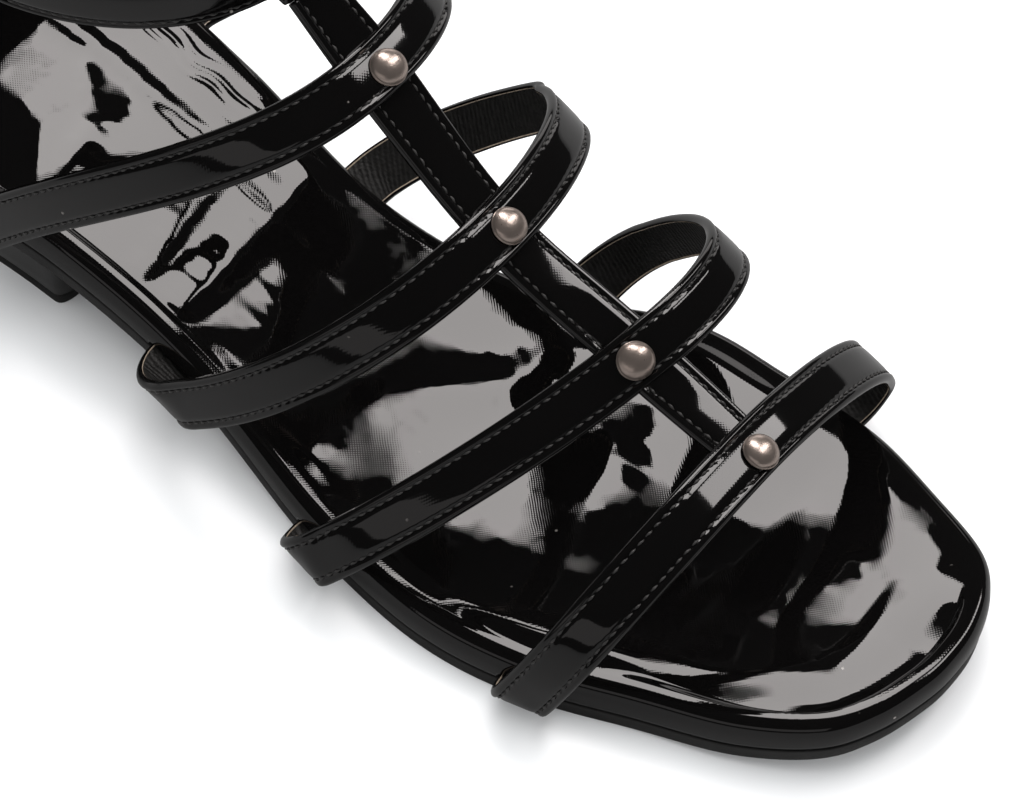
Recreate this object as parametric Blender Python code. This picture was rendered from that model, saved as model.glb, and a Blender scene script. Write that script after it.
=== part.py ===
"""Roman sandal for the right foot: four studded cross straps over a centre strap, on a low heel.

Metres. +X runs from heel to toe, +Y to the inner side of the foot, +Z up. The origin lies on
the floor under the middle of the heel. A station is a share of LENGTH, 0 at the back of the
heel and 1 at the tip of the toe.
"""

import math

import bmesh
import bpy
import numpy as np
from mathutils import Matrix, Vector

# Sole sizes
LENGTH = 0.250
BALL_WIDTH = 0.080
HEEL_HEIGHT = 0.016
TOE_SPRING = 0.008
OUTSOLE_THICK = 0.0028
OUTSOLE_INSET = 0.0005
OUTSOLE_CHAMFER = 0.0003
INSOLE_THICK = 0.0069
INSOLE_RIM = 0.0038
INSOLE_DISH = 0.0011
HEEL_TAPER = 0.0042
HEEL_INSET = 0.0012
TOP_PIECE_THICK = 0.0022
GAP = 0.0003

# Strap sizes
STRAP_WIDTH = 0.0098
STRAP_THICK = 0.0018
STRAP_ROLL = 0.0006
STRAP_SINK = 0.0004
INSTEP_HEIGHT = 0.0824
TAIL = 0.007
TAIL_LIFT = 0.00045

# Ankle strap and counter sizes
ANKLE_RISE = 0.0126
ANKLE_TILT = 0.004
ANKLE_LENGTH = 0.086
ANKLE_WIDTH = 0.065
ANKLE_OVERLAP = 0.032
LOOP_WALL = 0.0011
LOOP_LENGTH = 0.0098
LOOP_CLEAR = 0.0007
COUNTER_WALL = 0.0018
COUNTER_FRONT_RISE = 0.005
COUNTER_BULGE = 0.0022

# Hardware sizes
STUD_DIAMETER = 0.0066
STUD_RISE = 0.0023
STUD_RIM = 0.0004
STUD_SHANK = 0.0022
STUD_PLATE = 0.0006
BUCKLE_WIRE = 0.0017
BUCKLE_REACH = 0.0125
BUCKLE_PLAY = 0.0009
EYE_WALL = 0.0010
KEEPER_LENGTH = 0.005
PRONG_WIRE = 0.0014
PRONG_SLOT = 0.0034
HOLE_DIAMETER = 0.0022
HOLE_PITCH = 0.0085
HOLE_COUNT = 3

# Stations of the sole, as shares of LENGTH
ORIGIN_AT = 0.16
SEAT_FRONT = 0.28
BREAST_AT = 0.325
BALL_BACK = 0.62
BALL_FRONT = 0.80
COUNTER_FRONT = 0.205
COUNTER_FADE = 0.035
ANKLE_AT = 0.28
BUCKLE_ANGLE = -102.0

# Sole outline: station, outer and inner half widths as shares of BALL_WIDTH
OUTLINE = (
    (0.00, 0.000, 0.000),
    (0.03, 0.183, 0.194),
    (0.10, 0.306, 0.310),
    (0.20, 0.359, 0.375),
    (0.32, 0.359, 0.319),
    (0.45, 0.380, 0.264),
    (0.58, 0.475, 0.340),
    (0.68, 0.524, 0.480),
    (0.76, 0.498, 0.495),
    (0.84, 0.414, 0.481),
    (0.91, 0.348, 0.405),
    (0.96, 0.262, 0.330),
    (0.984, 0.161, 0.245),
    (0.997, 0.040, 0.140),
    (1.00, -0.045, 0.045),
)

# Insole skin: inset as a share of the rim, way to the middle line, height as a share of the
# thickness, dish as a share of INSOLE_DISH
INSOLE_ROWS = (
    (0.32, 1.00, 0.00, 0.0),
    (0.32, 0.00, 0.00, 0.0),
    (0.06, 0.00, 0.12, 0.0),
    (0.00, 0.00, 0.34, 0.0),
    (0.06, 0.00, 0.62, 0.0),
    (0.26, 0.00, 0.85, 0.0),
    (0.58, 0.00, 0.97, 0.0),
    (1.00, 0.00, 1.00, 0.0),
    (1.00, 0.20, 1.00, 0.6),
    (1.00, 0.55, 1.00, 0.9),
    (1.00, 1.00, 1.00, 1.0),
)

# Cross straps: station and offset of the crown, its height as a share of INSTEP_HEIGHT, the
# slope of the strap's face there in degrees, and the offsets of the centre strap and of the
# stud; offsets as shares of BALL_WIDTH. How far the stud sits ahead of the strap's middle and
# how wide the centre strap is there are shares of STRAP_WIDTH.
CROWNS = {
    "toe": dict(at=0.829, across=-0.013, rise=0.505, slope=19.7, centre=0.025, stud=0.020,
                ahead=0.120, wide=1.00),
    "ball": dict(at=0.745, across=0.172, rise=0.617, slope=32.5, centre=0.018, stud=0.000,
                 ahead=0.010, wide=1.00),
    "instep": dict(at=0.624, across=-0.013, rise=0.753, slope=31.6, centre=0.002, stud=0.003,
                   ahead=0.060, wide=1.06),
    "top": dict(at=0.518, across=-0.011, rise=1.000, slope=28.7, centre=0.010, stud=0.017,
                ahead=0.120, wide=1.17),
}

# Legs of each strap, outer side first: station of the base, how far the leg swings out as a
# share of BALL_WIDTH, how high that is as a share of INSTEP_HEIGHT, roundness of the arch,
# forward lean and twist in degrees
LEGS = {
    "toe": ((0.769, 0.060, 0.079, 2.35, 0.83, 4.0), (0.803, 0.093, 0.097, 1.60, 0.74, 20.0)),
    "ball": ((0.584, 0.091, 0.099, 1.55, 1.13, 7.0), (0.600, 0.136, 0.186, 2.42, 1.27, 10.0)),
    "instep": ((0.426, 0.117, 0.082, 2.19, 0.81, 13.7), (0.431, 0.210, 0.360, 1.85, 1.05, 9.5)),
    "top": ((0.260, 0.103, 0.142, 2.34, 1.37, 9.4), (0.245, 0.144, 0.228, 2.32, 1.06, 11.7)),
}

# Heel counter: height of its edge as shares from the low front to the high back, by the way
# round from the front end (0) to the back (1)
COUNTER_EDGE = (
    (0.00, 0.00), (0.03, 0.13), (0.08, 0.22), (0.15, 0.28), (0.25, 0.33), (0.38, 0.38),
    (0.52, 0.46), (0.64, 0.57), (0.74, 0.74), (0.80, 0.88), (0.86, 1.00), (1.00, 1.00),
)

COLOURS = {
    "patent_black": ((0.012, 0.011, 0.011), 0.08, 0.0),
    "sole_black": ((0.035, 0.034, 0.034), 0.45, 0.0),
    "heel_black": ((0.014, 0.013, 0.013), 0.12, 0.0),
    "lining_black": ((0.020, 0.019, 0.019), 0.6, 0.0),
    "gunmetal": ((0.42, 0.39, 0.36), 0.24, 1.0),
}


# Helpers


def clear_scene():
    for obj in list(bpy.data.objects):
        bpy.data.objects.remove(obj, do_unlink=True)


def material(name):
    found = bpy.data.materials.get(name)
    if found:
        return found
    colour, roughness, metallic = COLOURS[name]
    made = bpy.data.materials.new(name)
    made.use_nodes = True
    shader = made.node_tree.nodes["Principled BSDF"]
    shader.inputs["Base Color"].default_value = (*colour, 1.0)
    shader.inputs["Roughness"].default_value = roughness
    shader.inputs["Metallic"].default_value = metallic
    return made


def add_mesh(name, points, faces, finish, helper=False):
    """A closed mesh object with its faces turned outwards; a helper only cuts or joins."""
    mesh = bpy.data.meshes.new(name)
    mesh.from_pydata([tuple(p) for p in points], [], faces)
    work = bmesh.new()
    work.from_mesh(mesh)
    bmesh.ops.remove_doubles(work, verts=work.verts, dist=1e-6)
    bmesh.ops.dissolve_degenerate(work, edges=work.edges, dist=1e-7)
    bmesh.ops.recalc_face_normals(work, faces=work.faces)
    work.to_mesh(mesh)
    work.free()
    mesh.shade_smooth()
    mesh.set_sharp_from_angle(angle=math.radians(40))
    obj = bpy.data.objects.new(name, mesh)
    bpy.context.scene.collection.objects.link(obj)
    mesh.materials.append(material(finish))
    if helper:
        obj.hide_render = True
        obj.display_type = "WIRE"
    return obj


def loops_mesh(name, loops, finish, helper=False, caps=False, closed=False):
    """Skin over a list of closed loops with the same number of points."""
    count = len(loops[0])
    points = [p for loop in loops for p in loop]
    faces = []
    rows = len(loops)
    for r in range(rows if closed else rows - 1):
        a, b = r * count, ((r + 1) % rows) * count
        for i in range(count):
            j = (i + 1) % count
            faces.append((a + i, a + j, b + j, b + i))
    if caps:
        faces.append(tuple(range(count)))
        faces.append(tuple(range((rows - 1) * count, rows * count)))
    return add_mesh(name, points, faces, finish, helper)


def boolean(obj, other, operation):
    cut = obj.modifiers.new(f"{operation.lower()}_{other.name}", "BOOLEAN")
    cut.operation = operation
    cut.object = other
    cut.solver = "EXACT"


def smooth(t):
    t = min(max(t, 0.0), 1.0)
    return t * t * (3 - 2 * t)


def unit(vector):
    return vector / np.linalg.norm(vector)


def through(points, steps, closed=False):
    """Points of a smooth curve that passes through the given points."""
    points = np.asarray(points, float)
    last = len(points) if closed else len(points) - 1
    found = []
    for i in range(last):
        if closed:
            a, b, c, d = (points[(i + k) % len(points)] for k in (-1, 0, 1, 2))
        else:
            b, c = points[i], points[i + 1]
            a = points[i - 1] if i else 2 * b - c
            d = points[i + 2] if i + 2 < len(points) else 2 * c - b
        for t in np.arange(steps) / steps:
            found.append(
                0.5 * (2 * b + (c - a) * t + (2 * a - 5 * b + 4 * c - d) * t**2
                       + (3 * b - a - 3 * c + d) * t**3)
            )
    if not closed:
        found.append(points[-1])
    return np.array(found)


def spaced(points, count):
    """The same curve with evenly spaced points."""
    ends = np.r_[0, np.cumsum(np.linalg.norm(np.diff(points, axis=0), axis=1))]
    wanted = np.linspace(0, ends[-1], count)
    return np.stack([np.interp(wanted, ends, points[:, k]) for k in range(3)], axis=1)


# Sole


def at(station):
    return (station - ORIGIN_AT) * LENGTH


def outline_curve():
    outer = [(s * LENGTH, -w * BALL_WIDTH) for s, w, _ in OUTLINE]
    inner = [(s * LENGTH, w * BALL_WIDTH) for s, _, w in OUTLINE]
    tip = (LENGTH, 0.5 * (outer[-1][1] + inner[-1][1]))
    knots = outer[:-1] + [tip] + inner[1:-1][::-1]
    curve = through(knots, 12, closed=True)
    turn = int(np.argmax(curve[:, 0]))
    first, second = curve[: turn + 1], np.vstack([curve[turn:], curve[:1]])[::-1]
    return {-1: first, 1: second}


EDGE = outline_curve()


def edge_y(station, side):
    curve = EDGE[side]
    return float(np.interp(station * LENGTH, curve[:, 0], curve[:, 1]))


def sole_under(station):
    """Height of the outsole's underside above the floor."""
    toe = TOE_SPRING * max(0.0, (station - BALL_FRONT) / (1 - BALL_FRONT)) ** 1.8
    heel = HEEL_HEIGHT * smooth((BALL_BACK - station) / (BALL_BACK - SEAT_FRONT))
    return toe + heel


def seam(station):
    """Height of the outsole's top."""
    return sole_under(station) + OUTSOLE_THICK


def sole_stations():
    heel = [0.12 * (1 - math.cos(math.radians(a))) for a in (0, 14, 28, 42, 56, 72, 90)]
    seat = list(np.linspace(0.12, SEAT_FRONT, 5)[1:])
    waist = list(np.linspace(SEAT_FRONT, BALL_BACK, 14)[1:])
    ball = list(np.linspace(BALL_BACK, BALL_FRONT, 5)[1:])
    toe = [BALL_FRONT + 0.03, 0.86]
    turns = (11, 22, 32, 42, 51, 60, 68, 75, 81, 86, 90)
    tip = [0.86 + 0.14 * math.sin(math.radians(a)) for a in turns]
    return [(s, 1.0) for s in heel + seat + waist + ball + toe + tip]


def heel_stations():
    """The heel's plan: the sole's outline, closed by a breast with rounded corners."""
    heel = [0.12 * (1 - math.cos(math.radians(a))) for a in (0, 14, 28, 42, 56, 72, 90)]
    corner = BREAST_AT - 0.02
    seat = list(np.linspace(0.12, corner, 5)[1:])
    plan = [(s, 1.0) for s in heel + seat]
    for a in (25, 45, 60, 72, 82, 90):
        turn = math.radians(a)
        plan.append((corner + 0.02 * math.sqrt(math.sin(turn)), math.sqrt(max(0.0, math.cos(turn)))))
    return plan


def plan_loop(stations, height, inset=0.0, way=0.0, extra=None):
    """One closed loop round the sole's plan, moved in from its edge and set at a height.

    inset is a length from the edge, way the share of what is left to the middle line.
    """
    first, last = stations[0][0], stations[-1][0]
    reach = 0.30 * BALL_WIDTH / LENGTH
    sides = {-1: [], 1: []}
    for station, narrow in stations:
        inner = min(max(station, first + reach), last - reach)
        for side in (-1, 1):
            middle = 0.5 * (edge_y(inner, -1) + edge_y(inner, 1))
            local = 0.5 * (edge_y(station, -1) + edge_y(station, 1))
            edge = np.array([at(station), local + (edge_y(station, side) - local) * narrow])
            spine = np.array([at(inner), middle])
            run = np.linalg.norm(spine - edge)
            shift = inset + (extra(station) if extra else 0.0)
            moved = edge + (spine - edge) / run * (shift + way * (run - shift))
            share = moved[0] / LENGTH + ORIGIN_AT
            sides[side].append((moved[0], moved[1], height(share)))
    return sides[-1] + sides[1][-2:0:-1]


def counter_room(station):
    """How far the insole stands back from the edge so that the counter passes beside it."""
    return (COUNTER_WALL + GAP) * smooth((COUNTER_FRONT + COUNTER_FADE - station) / COUNTER_FADE)


def make_outsole():
    stations = sole_stations()
    side = OUTSOLE_INSET
    rows = ((side, 1, 0.0), (side + OUTSOLE_CHAMFER, 0, 0.0), (side, 0, 0.15), (side, 0, 0.85),
            (side + OUTSOLE_CHAMFER, 0, 1.0), (side, 1, 1.0))
    loops = [
        plan_loop(stations, lambda s, h=h: sole_under(s) + h * OUTSOLE_THICK, inset, way)
        for inset, way, h in rows
    ]
    return loops_mesh("outsole", loops, "sole_black")


def make_insole():
    stations = sole_stations()
    loops = []
    for inset, way, height, dish in INSOLE_ROWS:
        def surface(s, height=height, dish=dish):
            return seam(s) + GAP + height * INSOLE_THICK - dish * INSOLE_DISH
        loops.append(plan_loop(stations, surface, inset * INSOLE_RIM, way, counter_room))
    insole = loops_mesh("insole", loops, "patent_black")
    for strap in LEGS:
        for side in (-1, 1):
            boolean(insole, make_slot(strap, side), "DIFFERENCE")
    return insole


def make_heel():
    stations = heel_stations()
    floor = TOP_PIECE_THICK + GAP

    def body(share):
        return lambda s: floor + share * (sole_under(s) - GAP - floor)

    rows = ((1.0, 1), (0.92, 0), (0.55, 0), (0.2, 0), (0.0, 0), (0.0, 1))
    shares = (0.0, 0.0, 0.35, 0.75, 1.0, 1.0)
    loops = []
    for share, (taper, way) in zip(shares, rows):
        loops.append(plan_loop(stations, body(share), HEEL_INSET + taper * HEEL_TAPER, way))
    block = loops_mesh("heel_block", loops, "heel_black")
    low = HEEL_INSET + HEEL_TAPER
    piece_rows = ((low, 1, 0.0), (low, 0, 0.0), (low, 0, 1.0), (low, 1, 1.0))
    piece = loops_mesh(
        "heel_top_piece",
        [plan_loop(stations, lambda s, h=h: h * TOP_PIECE_THICK, i, w) for i, w, h in piece_rows],
        "sole_black",
    )
    return block, piece


# Straps


def strip_loops(stations):
    """Section loops of a flat strap with rolled edges.

    A station is its middle point, the directions across the strap and out of its face, and
    its width and thickness.
    """
    loops = []
    for point, across, face, width, thick in stations:
        w, t = width / 2, thick / 2
        r = min(STRAP_ROLL, 0.9 * t)
        corners = ((w - r, t), (w, t - r), (w, r - t), (w - r, -t),
                   (r - w, -t), (-w, r - t), (-w, t - r), (r - w, t))
        loops.append([point + across * a + face * b for a, b in corners])
    return loops


def base_frame(strap, side):
    """Where a strap leaves the sole: the point on the edge, along it, inwards and up."""
    station = LEGS[strap][0 if side < 0 else 1][0]
    step = 0.004

    def rim(s):
        return np.array([at(s), edge_y(s, side), seam(s)])

    along = unit(rim(station + step) - rim(station - step))
    flat = np.array([-along[1], along[0], 0.0]) * -side
    slope = (sole_under(station + step) - sole_under(station - step)) / (2 * step * LENGTH)
    inward = unit(flat + np.array([0.0, 0.0, slope * flat[0]]))
    up = np.cross(along, inward)
    up = up if up[2] > 0 else -up
    return rim(station) + up * (TAIL_LIFT + STRAP_THICK / 2), along, inward, up


def make_slot(strap, side):
    """Cutter for the recess in the insole that takes a strap's turned-in end."""
    base, along, inward, up = base_frame(strap, side)
    wide = STRAP_WIDTH / 2 + GAP
    top = STRAP_THICK / 2 + TAIL_LIFT
    low = top + TAIL_LIFT + GAP
    loops = []
    for reach in (TAIL + GAP, -0.4 * TAIL):
        middle = base + inward * reach
        loops.append([middle - along * wide - up * low, middle + along * wide - up * low,
                      middle + along * wide + up * top, middle - along * wide + up * top])
    name = f"slot_{strap}_{'outer' if side < 0 else 'inner'}"
    return loops_mesh(name, loops, "lining_black", helper=True, caps=True)


def leg_points(strap, side):
    """Middle line of one leg, from its tail under the insole to the crown."""
    row = CROWNS[strap]
    _, out, lift, full, lean, _ = LEGS[strap][0 if side < 0 else 1]
    crown = np.array([at(row["at"]), row["across"] * BALL_WIDTH, row["rise"] * INSTEP_HEIGHT])
    base, _, inward, _ = base_frame(strap, side)
    swing = base[1] + side * out * BALL_WIDTH
    lift = lift * INSTEP_HEIGHT
    rise = crown[2] - base[2]

    def leaned(y, z):
        return base[0] + (crown[0] - base[0]) * (max(z - base[2], 0.0) / rise) ** lean, y, z

    tail = [base + inward * TAIL, base + inward * 0.5 * TAIL]
    turn = []
    for a in np.radians((0, 18, 36, 54, 72)):
        turn.append(leaned(base[1] + (swing - base[1]) * math.sin(a),
                           base[2] + lift * (1 - math.cos(a))))
    arch = []
    for a in np.radians(np.linspace(0, 90, 46)):
        y = crown[1] + (swing - crown[1]) * abs(math.cos(a)) ** (2 / full)
        z = base[2] + lift + (rise - lift) * math.sin(a) ** (2 / full)
        arch.append(leaned(y, z))
    return np.array(tail), np.array(turn), np.array(arch)


def strap_stations(strap):
    """Stations of a whole cross strap, outer tail to inner tail."""
    outer, inner = leg_points(strap, -1), leg_points(strap, 1)
    arch = spaced(np.vstack([outer[2], inner[2][-2::-1]]), 33)
    for _ in range(3):
        arch[1:-1] = 0.25 * arch[:-2] + 0.5 * arch[1:-1] + 0.25 * arch[2:]
    path = np.vstack([outer[0], outer[1], arch, inner[1][::-1], inner[0][::-1]])
    heading = np.gradient(path, axis=0)
    crown = CROWNS[strap]
    peak = int(np.argmax(path[:, 2]))
    stations = []
    for i, point in enumerate(path):
        side = -1 if i < peak else 1
        base, along, _, _ = base_frame(strap, side)
        twist = LEGS[strap][0 if side < 0 else 1][5]
        share = min(max((point[2] - base[2]) / (path[peak][2] - base[2]), 0.0), 1.0)
        yaw = math.atan2(along[1], along[0]) * (1 - share)
        free = min(share / 0.15, 1.0)
        lying = math.asin(-along[2])
        leaning = math.radians(twist * (1 - share) + crown["slope"] * share)
        pitch = lying * (1 - free) + leaning * free
        across = np.array([math.cos(pitch) * math.cos(yaw), math.cos(pitch) * math.sin(yaw),
                           -math.sin(pitch)])
        run = unit(heading[i])
        across = unit(across - np.dot(across, run) * run)
        face = np.cross(across, run)
        stations.append((point, across, face, STRAP_WIDTH, STRAP_THICK))
    return stations


def crossing(strap, what):
    """Point, across, face and run of a cross strap where its stud or the centre strap is."""
    stations = strap_stations(strap)
    wanted = CROWNS[strap][what] * BALL_WIDTH
    heights = [s[0][1] for s in stations]
    i = next(k for k in range(len(stations) // 4, len(stations)) if heights[k] > wanted)
    a, b = stations[i - 1], stations[i]
    t = (wanted - a[0][1]) / (b[0][1] - a[0][1])
    point, across, face = (a[k] * (1 - t) + b[k] * t for k in range(3))
    return point, unit(across), unit(face), unit(b[0] - a[0])


def centre_stations():
    """Stations of the centre strap, from under the toe strap up to the ankle strap's loop."""
    drop = STRAP_THICK - STRAP_SINK
    knots, runs, wide = [], [], []
    for strap in ("toe", "ball", "instep", "top"):
        point, _, face, run = crossing(strap, "centre")
        knots.append(point - face * drop)
        runs.append(run)
        wide.append(CROWNS[strap]["wide"] * STRAP_WIDTH)
    ahead = unit(knots[0] - knots[1])
    knots.insert(0, knots[0] + ahead * 0.42 * STRAP_WIDTH)
    runs.insert(0, runs[0])
    wide.insert(0, wide[0])
    point, _, face, _ = ankle_frame(0.0)
    low = STRAP_WIDTH / 2 + LOOP_CLEAR + LOOP_WALL / 2
    seat = STRAP_THICK / 2 + LOOP_CLEAR + LOOP_WALL / 2
    knots.append(point + face * seat - np.array([0.0, 0.0, low]))
    runs.append(np.array([0.0, 1.0, 0.0]))
    wide.append(LOOP_LENGTH)
    path = through(knots, 5)
    sides = through(runs, 5)
    widths = np.interp(np.arange(len(path)) / 5, range(len(wide)), wide)
    heading = np.gradient(path, axis=0)
    stations = []
    for point, side, run, width in zip(path, sides, heading, widths):
        run = unit(run)
        across = unit(side - np.dot(side, run) * run)
        face = np.cross(across, run)
        face = face if face[2] > 0 else -face
        stations.append((point, across, face, width, STRAP_THICK))
    return stations


def make_upper():
    upper = loops_mesh("upper_straps", strip_loops(centre_stations()), "patent_black", caps=True)
    for strap in LEGS:
        loops = strip_loops(strap_stations(strap))
        cross = loops_mesh(f"cross_{strap}", loops, "patent_black", helper=True, caps=True)
        boolean(upper, cross, "UNION")
    loop = make_sleeve("centre_loop", 0.0, 0.0, STRAP_THICK, "patent_black", helper=True)
    boolean(upper, loop, "UNION")
    for strap in LEGS:
        boolean(upper, make_bore(f"stud_bore_{strap}", *stud_place(strap)), "DIFFERENCE")
    return upper


# Studs


def stud_place(strap):
    point, across, face, run = crossing(strap, "stud")
    return point + across * CROWNS[strap]["ahead"] * STRAP_WIDTH, across, face, run


def make_bore(name, point, across, face, run):
    radius = STUD_SHANK / 2 + GAP
    reach = 3 * STRAP_THICK
    ring = [(math.cos(a), math.sin(a)) for a in np.linspace(0, 2 * math.pi, 13)[:-1]]
    loops = []
    for height in (-reach, reach):
        loops.append([point + face * height + (across * c + run * s) * radius for c, s in ring])
    return loops_mesh(name, loops, "gunmetal", helper=True, caps=True)


def stud_profile():
    """Radius and height pairs of the rivet, from its tail plate to the top of its dome."""
    dome = STUD_DIAMETER / 2
    top = STRAP_THICK / 2 + GAP
    tail = STRAP_THICK / 2 + STRAP_THICK - STRAP_SINK + 2 * GAP
    plate = 0.9 * STUD_SHANK
    profile = [(0.0, -tail - STUD_PLATE), (plate, -tail - STUD_PLATE), (plate, -tail),
               (STUD_SHANK / 2, -tail), (STUD_SHANK / 2, top), (0.96 * dome, top),
               (dome, top + 0.5 * STUD_RIM), (dome, top + STUD_RIM)]
    for a in (22, 44, 66, 90):
        turn = math.radians(a)
        rise = STUD_RISE - STUD_RIM
        profile.append((0.97 * dome * math.cos(turn), top + STUD_RIM + rise * math.sin(turn)))
    return profile


def make_studs():
    turns = np.linspace(0, 2 * math.pi, 17)[:-1]
    loops = [[(r * math.cos(a), r * math.sin(a), z) for a in turns] for r, z in stud_profile()]
    made = []
    for number, strap in enumerate(LEGS, 1):
        point, across, face, run = stud_place(strap)
        stud = loops_mesh(f"stud_{number}", loops, "gunmetal")
        turn = Matrix((tuple(across), tuple(run), tuple(face))).transposed()
        stud.matrix_world = Matrix.Translation(Vector(point)) @ turn.to_4x4()
        made.append(stud)
    return made


# Ankle strap, buckle and counter


def ankle_frame(angle, offset=0.0):
    """Point, across, face and run of the ankle strap; the angle is 0 at the front."""
    turn = math.radians(angle)
    a, b = ANKLE_LENGTH / 2, ANKLE_WIDTH / 2
    face = unit(np.array([b * math.cos(turn), a * math.sin(turn), 0.0]))
    point = np.array([at(ANKLE_AT) + a * math.cos(turn), b * math.sin(turn),
                      INSTEP_HEIGHT + ANKLE_RISE + ANKLE_TILT * math.cos(turn)])
    tangent = unit(np.array([a * math.sin(turn), -b * math.cos(turn),
                             ANKLE_TILT * math.sin(turn)]))
    across = unit(np.cross(tangent, face))
    across = across if across[2] > 0 else -across
    return point + face * offset, across, face, tangent


def along_ankle(angle, length):
    """The angle that lies a length further round the ankle, in the strap's direction."""
    step = 1.0 if length > 0 else -1.0
    gone = 0.0
    while gone < abs(length):
        here, there = ankle_frame(angle)[0], ankle_frame(angle - step)[0]
        gone += np.linalg.norm(there - here)
        angle -= step
    return angle


EYE_RADIUS = BUCKLE_WIRE / 2 + GAP + EYE_WALL
PRONG_RING = BUCKLE_WIRE / 2 + GAP + PRONG_WIRE / 2
OVER_EYE = PRONG_RING + PRONG_WIRE / 2 + GAP + STRAP_THICK / 2
OVER_STRAP = STRAP_THICK + 1.5 * GAP
BAR_OFFSET = STRAP_THICK / 2 + GAP + BUCKLE_WIRE / 2


def ankle_stations():
    """The strap from its eye at the buckle, once round and on over its own start."""
    bar = along_ankle(BUCKLE_ANGLE, -BUCKLE_REACH)
    end = along_ankle(BUCKLE_ANGLE, ANKLE_OVERLAP)
    round_angles = np.linspace(BUCKLE_ANGLE, bar - 360, 50)
    over_angles = np.linspace(bar - 360, end - 360, 16)[1:]
    stations = []
    for angle in round_angles:
        point, across, face, _ = ankle_frame(angle)
        stations.append((point, across, face, STRAP_WIDTH, STRAP_THICK))
    tip = end - 360
    for angle in over_angles:
        eye = BUCKLE_ANGLE - 360
        if angle > eye:
            offset = OVER_EYE * smooth((bar - 360 - angle) / (bar - 360 - eye))
        else:
            fall = smooth((eye - angle) / (0.45 * (eye - tip)))
            offset = OVER_EYE + (OVER_STRAP - OVER_EYE) * fall
        point, across, face, _ = ankle_frame(angle, offset)
        left = min((angle - tip) / 9.0, 1.0)
        width = STRAP_WIDTH * (0.35 + 0.65 * math.sqrt(max(left, 0.0)))
        stations.append((point, across, face, width, STRAP_THICK))
    return stations


def make_ankle_strap():
    loops = strip_loops(ankle_stations())
    strap = loops_mesh("ankle_strap", loops, "patent_black", caps=True)
    point, across, face, run = ankle_frame(BUCKLE_ANGLE)
    eye = make_cylinder("buckle_eye", point, across, face, run, EYE_RADIUS, STRAP_WIDTH)
    boolean(strap, eye, "UNION")
    bore = make_cylinder("eye_bore", point, across, face, run, BUCKLE_WIRE / 2 + GAP,
                         1.5 * STRAP_WIDTH)
    boolean(strap, bore, "DIFFERENCE")
    slot = make_block("eye_slot", point, across, face, run,
                      (PRONG_SLOT, 2 * EYE_RADIUS + GAP, 2 * PRONG_RING + 2 * PRONG_WIRE))
    boolean(strap, slot, "DIFFERENCE")
    clearance = make_tube("prong_room", prong_path(), PRONG_WIRE / 2 + GAP, "gunmetal", helper=True)
    boolean(strap, clearance, "DIFFERENCE")
    for number in range(HOLE_COUNT):
        angle = along_ankle(BUCKLE_ANGLE, (number + 1) * HOLE_PITCH - 0.3 * HOLE_PITCH)
        offset = OVER_STRAP if number else OVER_EYE
        point, across, face, run = ankle_frame(angle, offset)
        hole = make_cylinder(f"strap_hole_{number}", point, face, across, run,
                             HOLE_DIAMETER / 2, 0.9 * OVER_STRAP, 10)
        boolean(strap, hole, "DIFFERENCE")
    return strap


def make_cylinder(name, point, axis, side, other, radius, length, sides=14):
    ring = [(math.cos(a), math.sin(a)) for a in np.linspace(0, 2 * math.pi, sides + 1)[:-1]]
    loops = []
    for reach in (-length / 2, length / 2):
        loops.append([point + axis * reach + (side * c + other * s) * radius for c, s in ring])
    return loops_mesh(name, loops, "gunmetal", helper=True, caps=True)


def make_block(name, point, across, face, run, sizes):
    a, b, c = (s / 2 for s in sizes)
    loops = []
    for reach in (-a, a):
        loops.append([point + across * reach + face * x + run * y
                      for x, y in ((-b, -c), (b, -c), (b, c), (-b, c))])
    return loops_mesh(name, loops, "gunmetal", helper=True, caps=True)


def make_tube(name, path, radius, finish, closed=False, helper=False, sides=8):
    """A round wire along a path that lies in or near one plane."""
    path = np.asarray(path, float)
    count = len(path)
    middle = path.mean(axis=0)
    normal = unit(np.linalg.svd(path - middle)[2][2])
    loops = []
    for i in range(count):
        if closed:
            run = unit(path[(i + 1) % count] - path[i - 1])
        else:
            run = unit(path[min(i + 1, count - 1)] - path[max(i - 1, 0)])
        side = unit(np.cross(normal, run))
        up = np.cross(run, side)
        loops.append([path[i] + (side * math.cos(a) + up * math.sin(a)) * radius
                      for a in np.linspace(0, 2 * math.pi, sides + 1)[:-1]])
    return loops_mesh(name, loops, finish, helper=helper, caps=not closed, closed=closed)


def prong_path():
    """Middle line of the prong: most of a ring round the bar, then out over the front bar."""
    point, _, face, run = ankle_frame(BUCKLE_ANGLE)
    front = along_ankle(BUCKLE_ANGLE, -BUCKLE_REACH)
    rest = BAR_OFFSET + BUCKLE_WIRE / 2 + GAP + PRONG_WIRE / 2
    over, _, over_face, _ = ankle_frame(front, rest)
    path = []
    for a in np.radians(np.linspace(-110, 90, 9)):
        path.append(point + (-run * -math.cos(a) + face * math.sin(a)) * PRONG_RING)
    start = path[-1]
    for t in (0.3, 0.6, 0.85, 1.0):
        path.append(start * (1 - t) + over * t)
    path.append(over - run * 1.2 * PRONG_WIRE - over_face * 0.1 * PRONG_WIRE)
    return path


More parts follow.
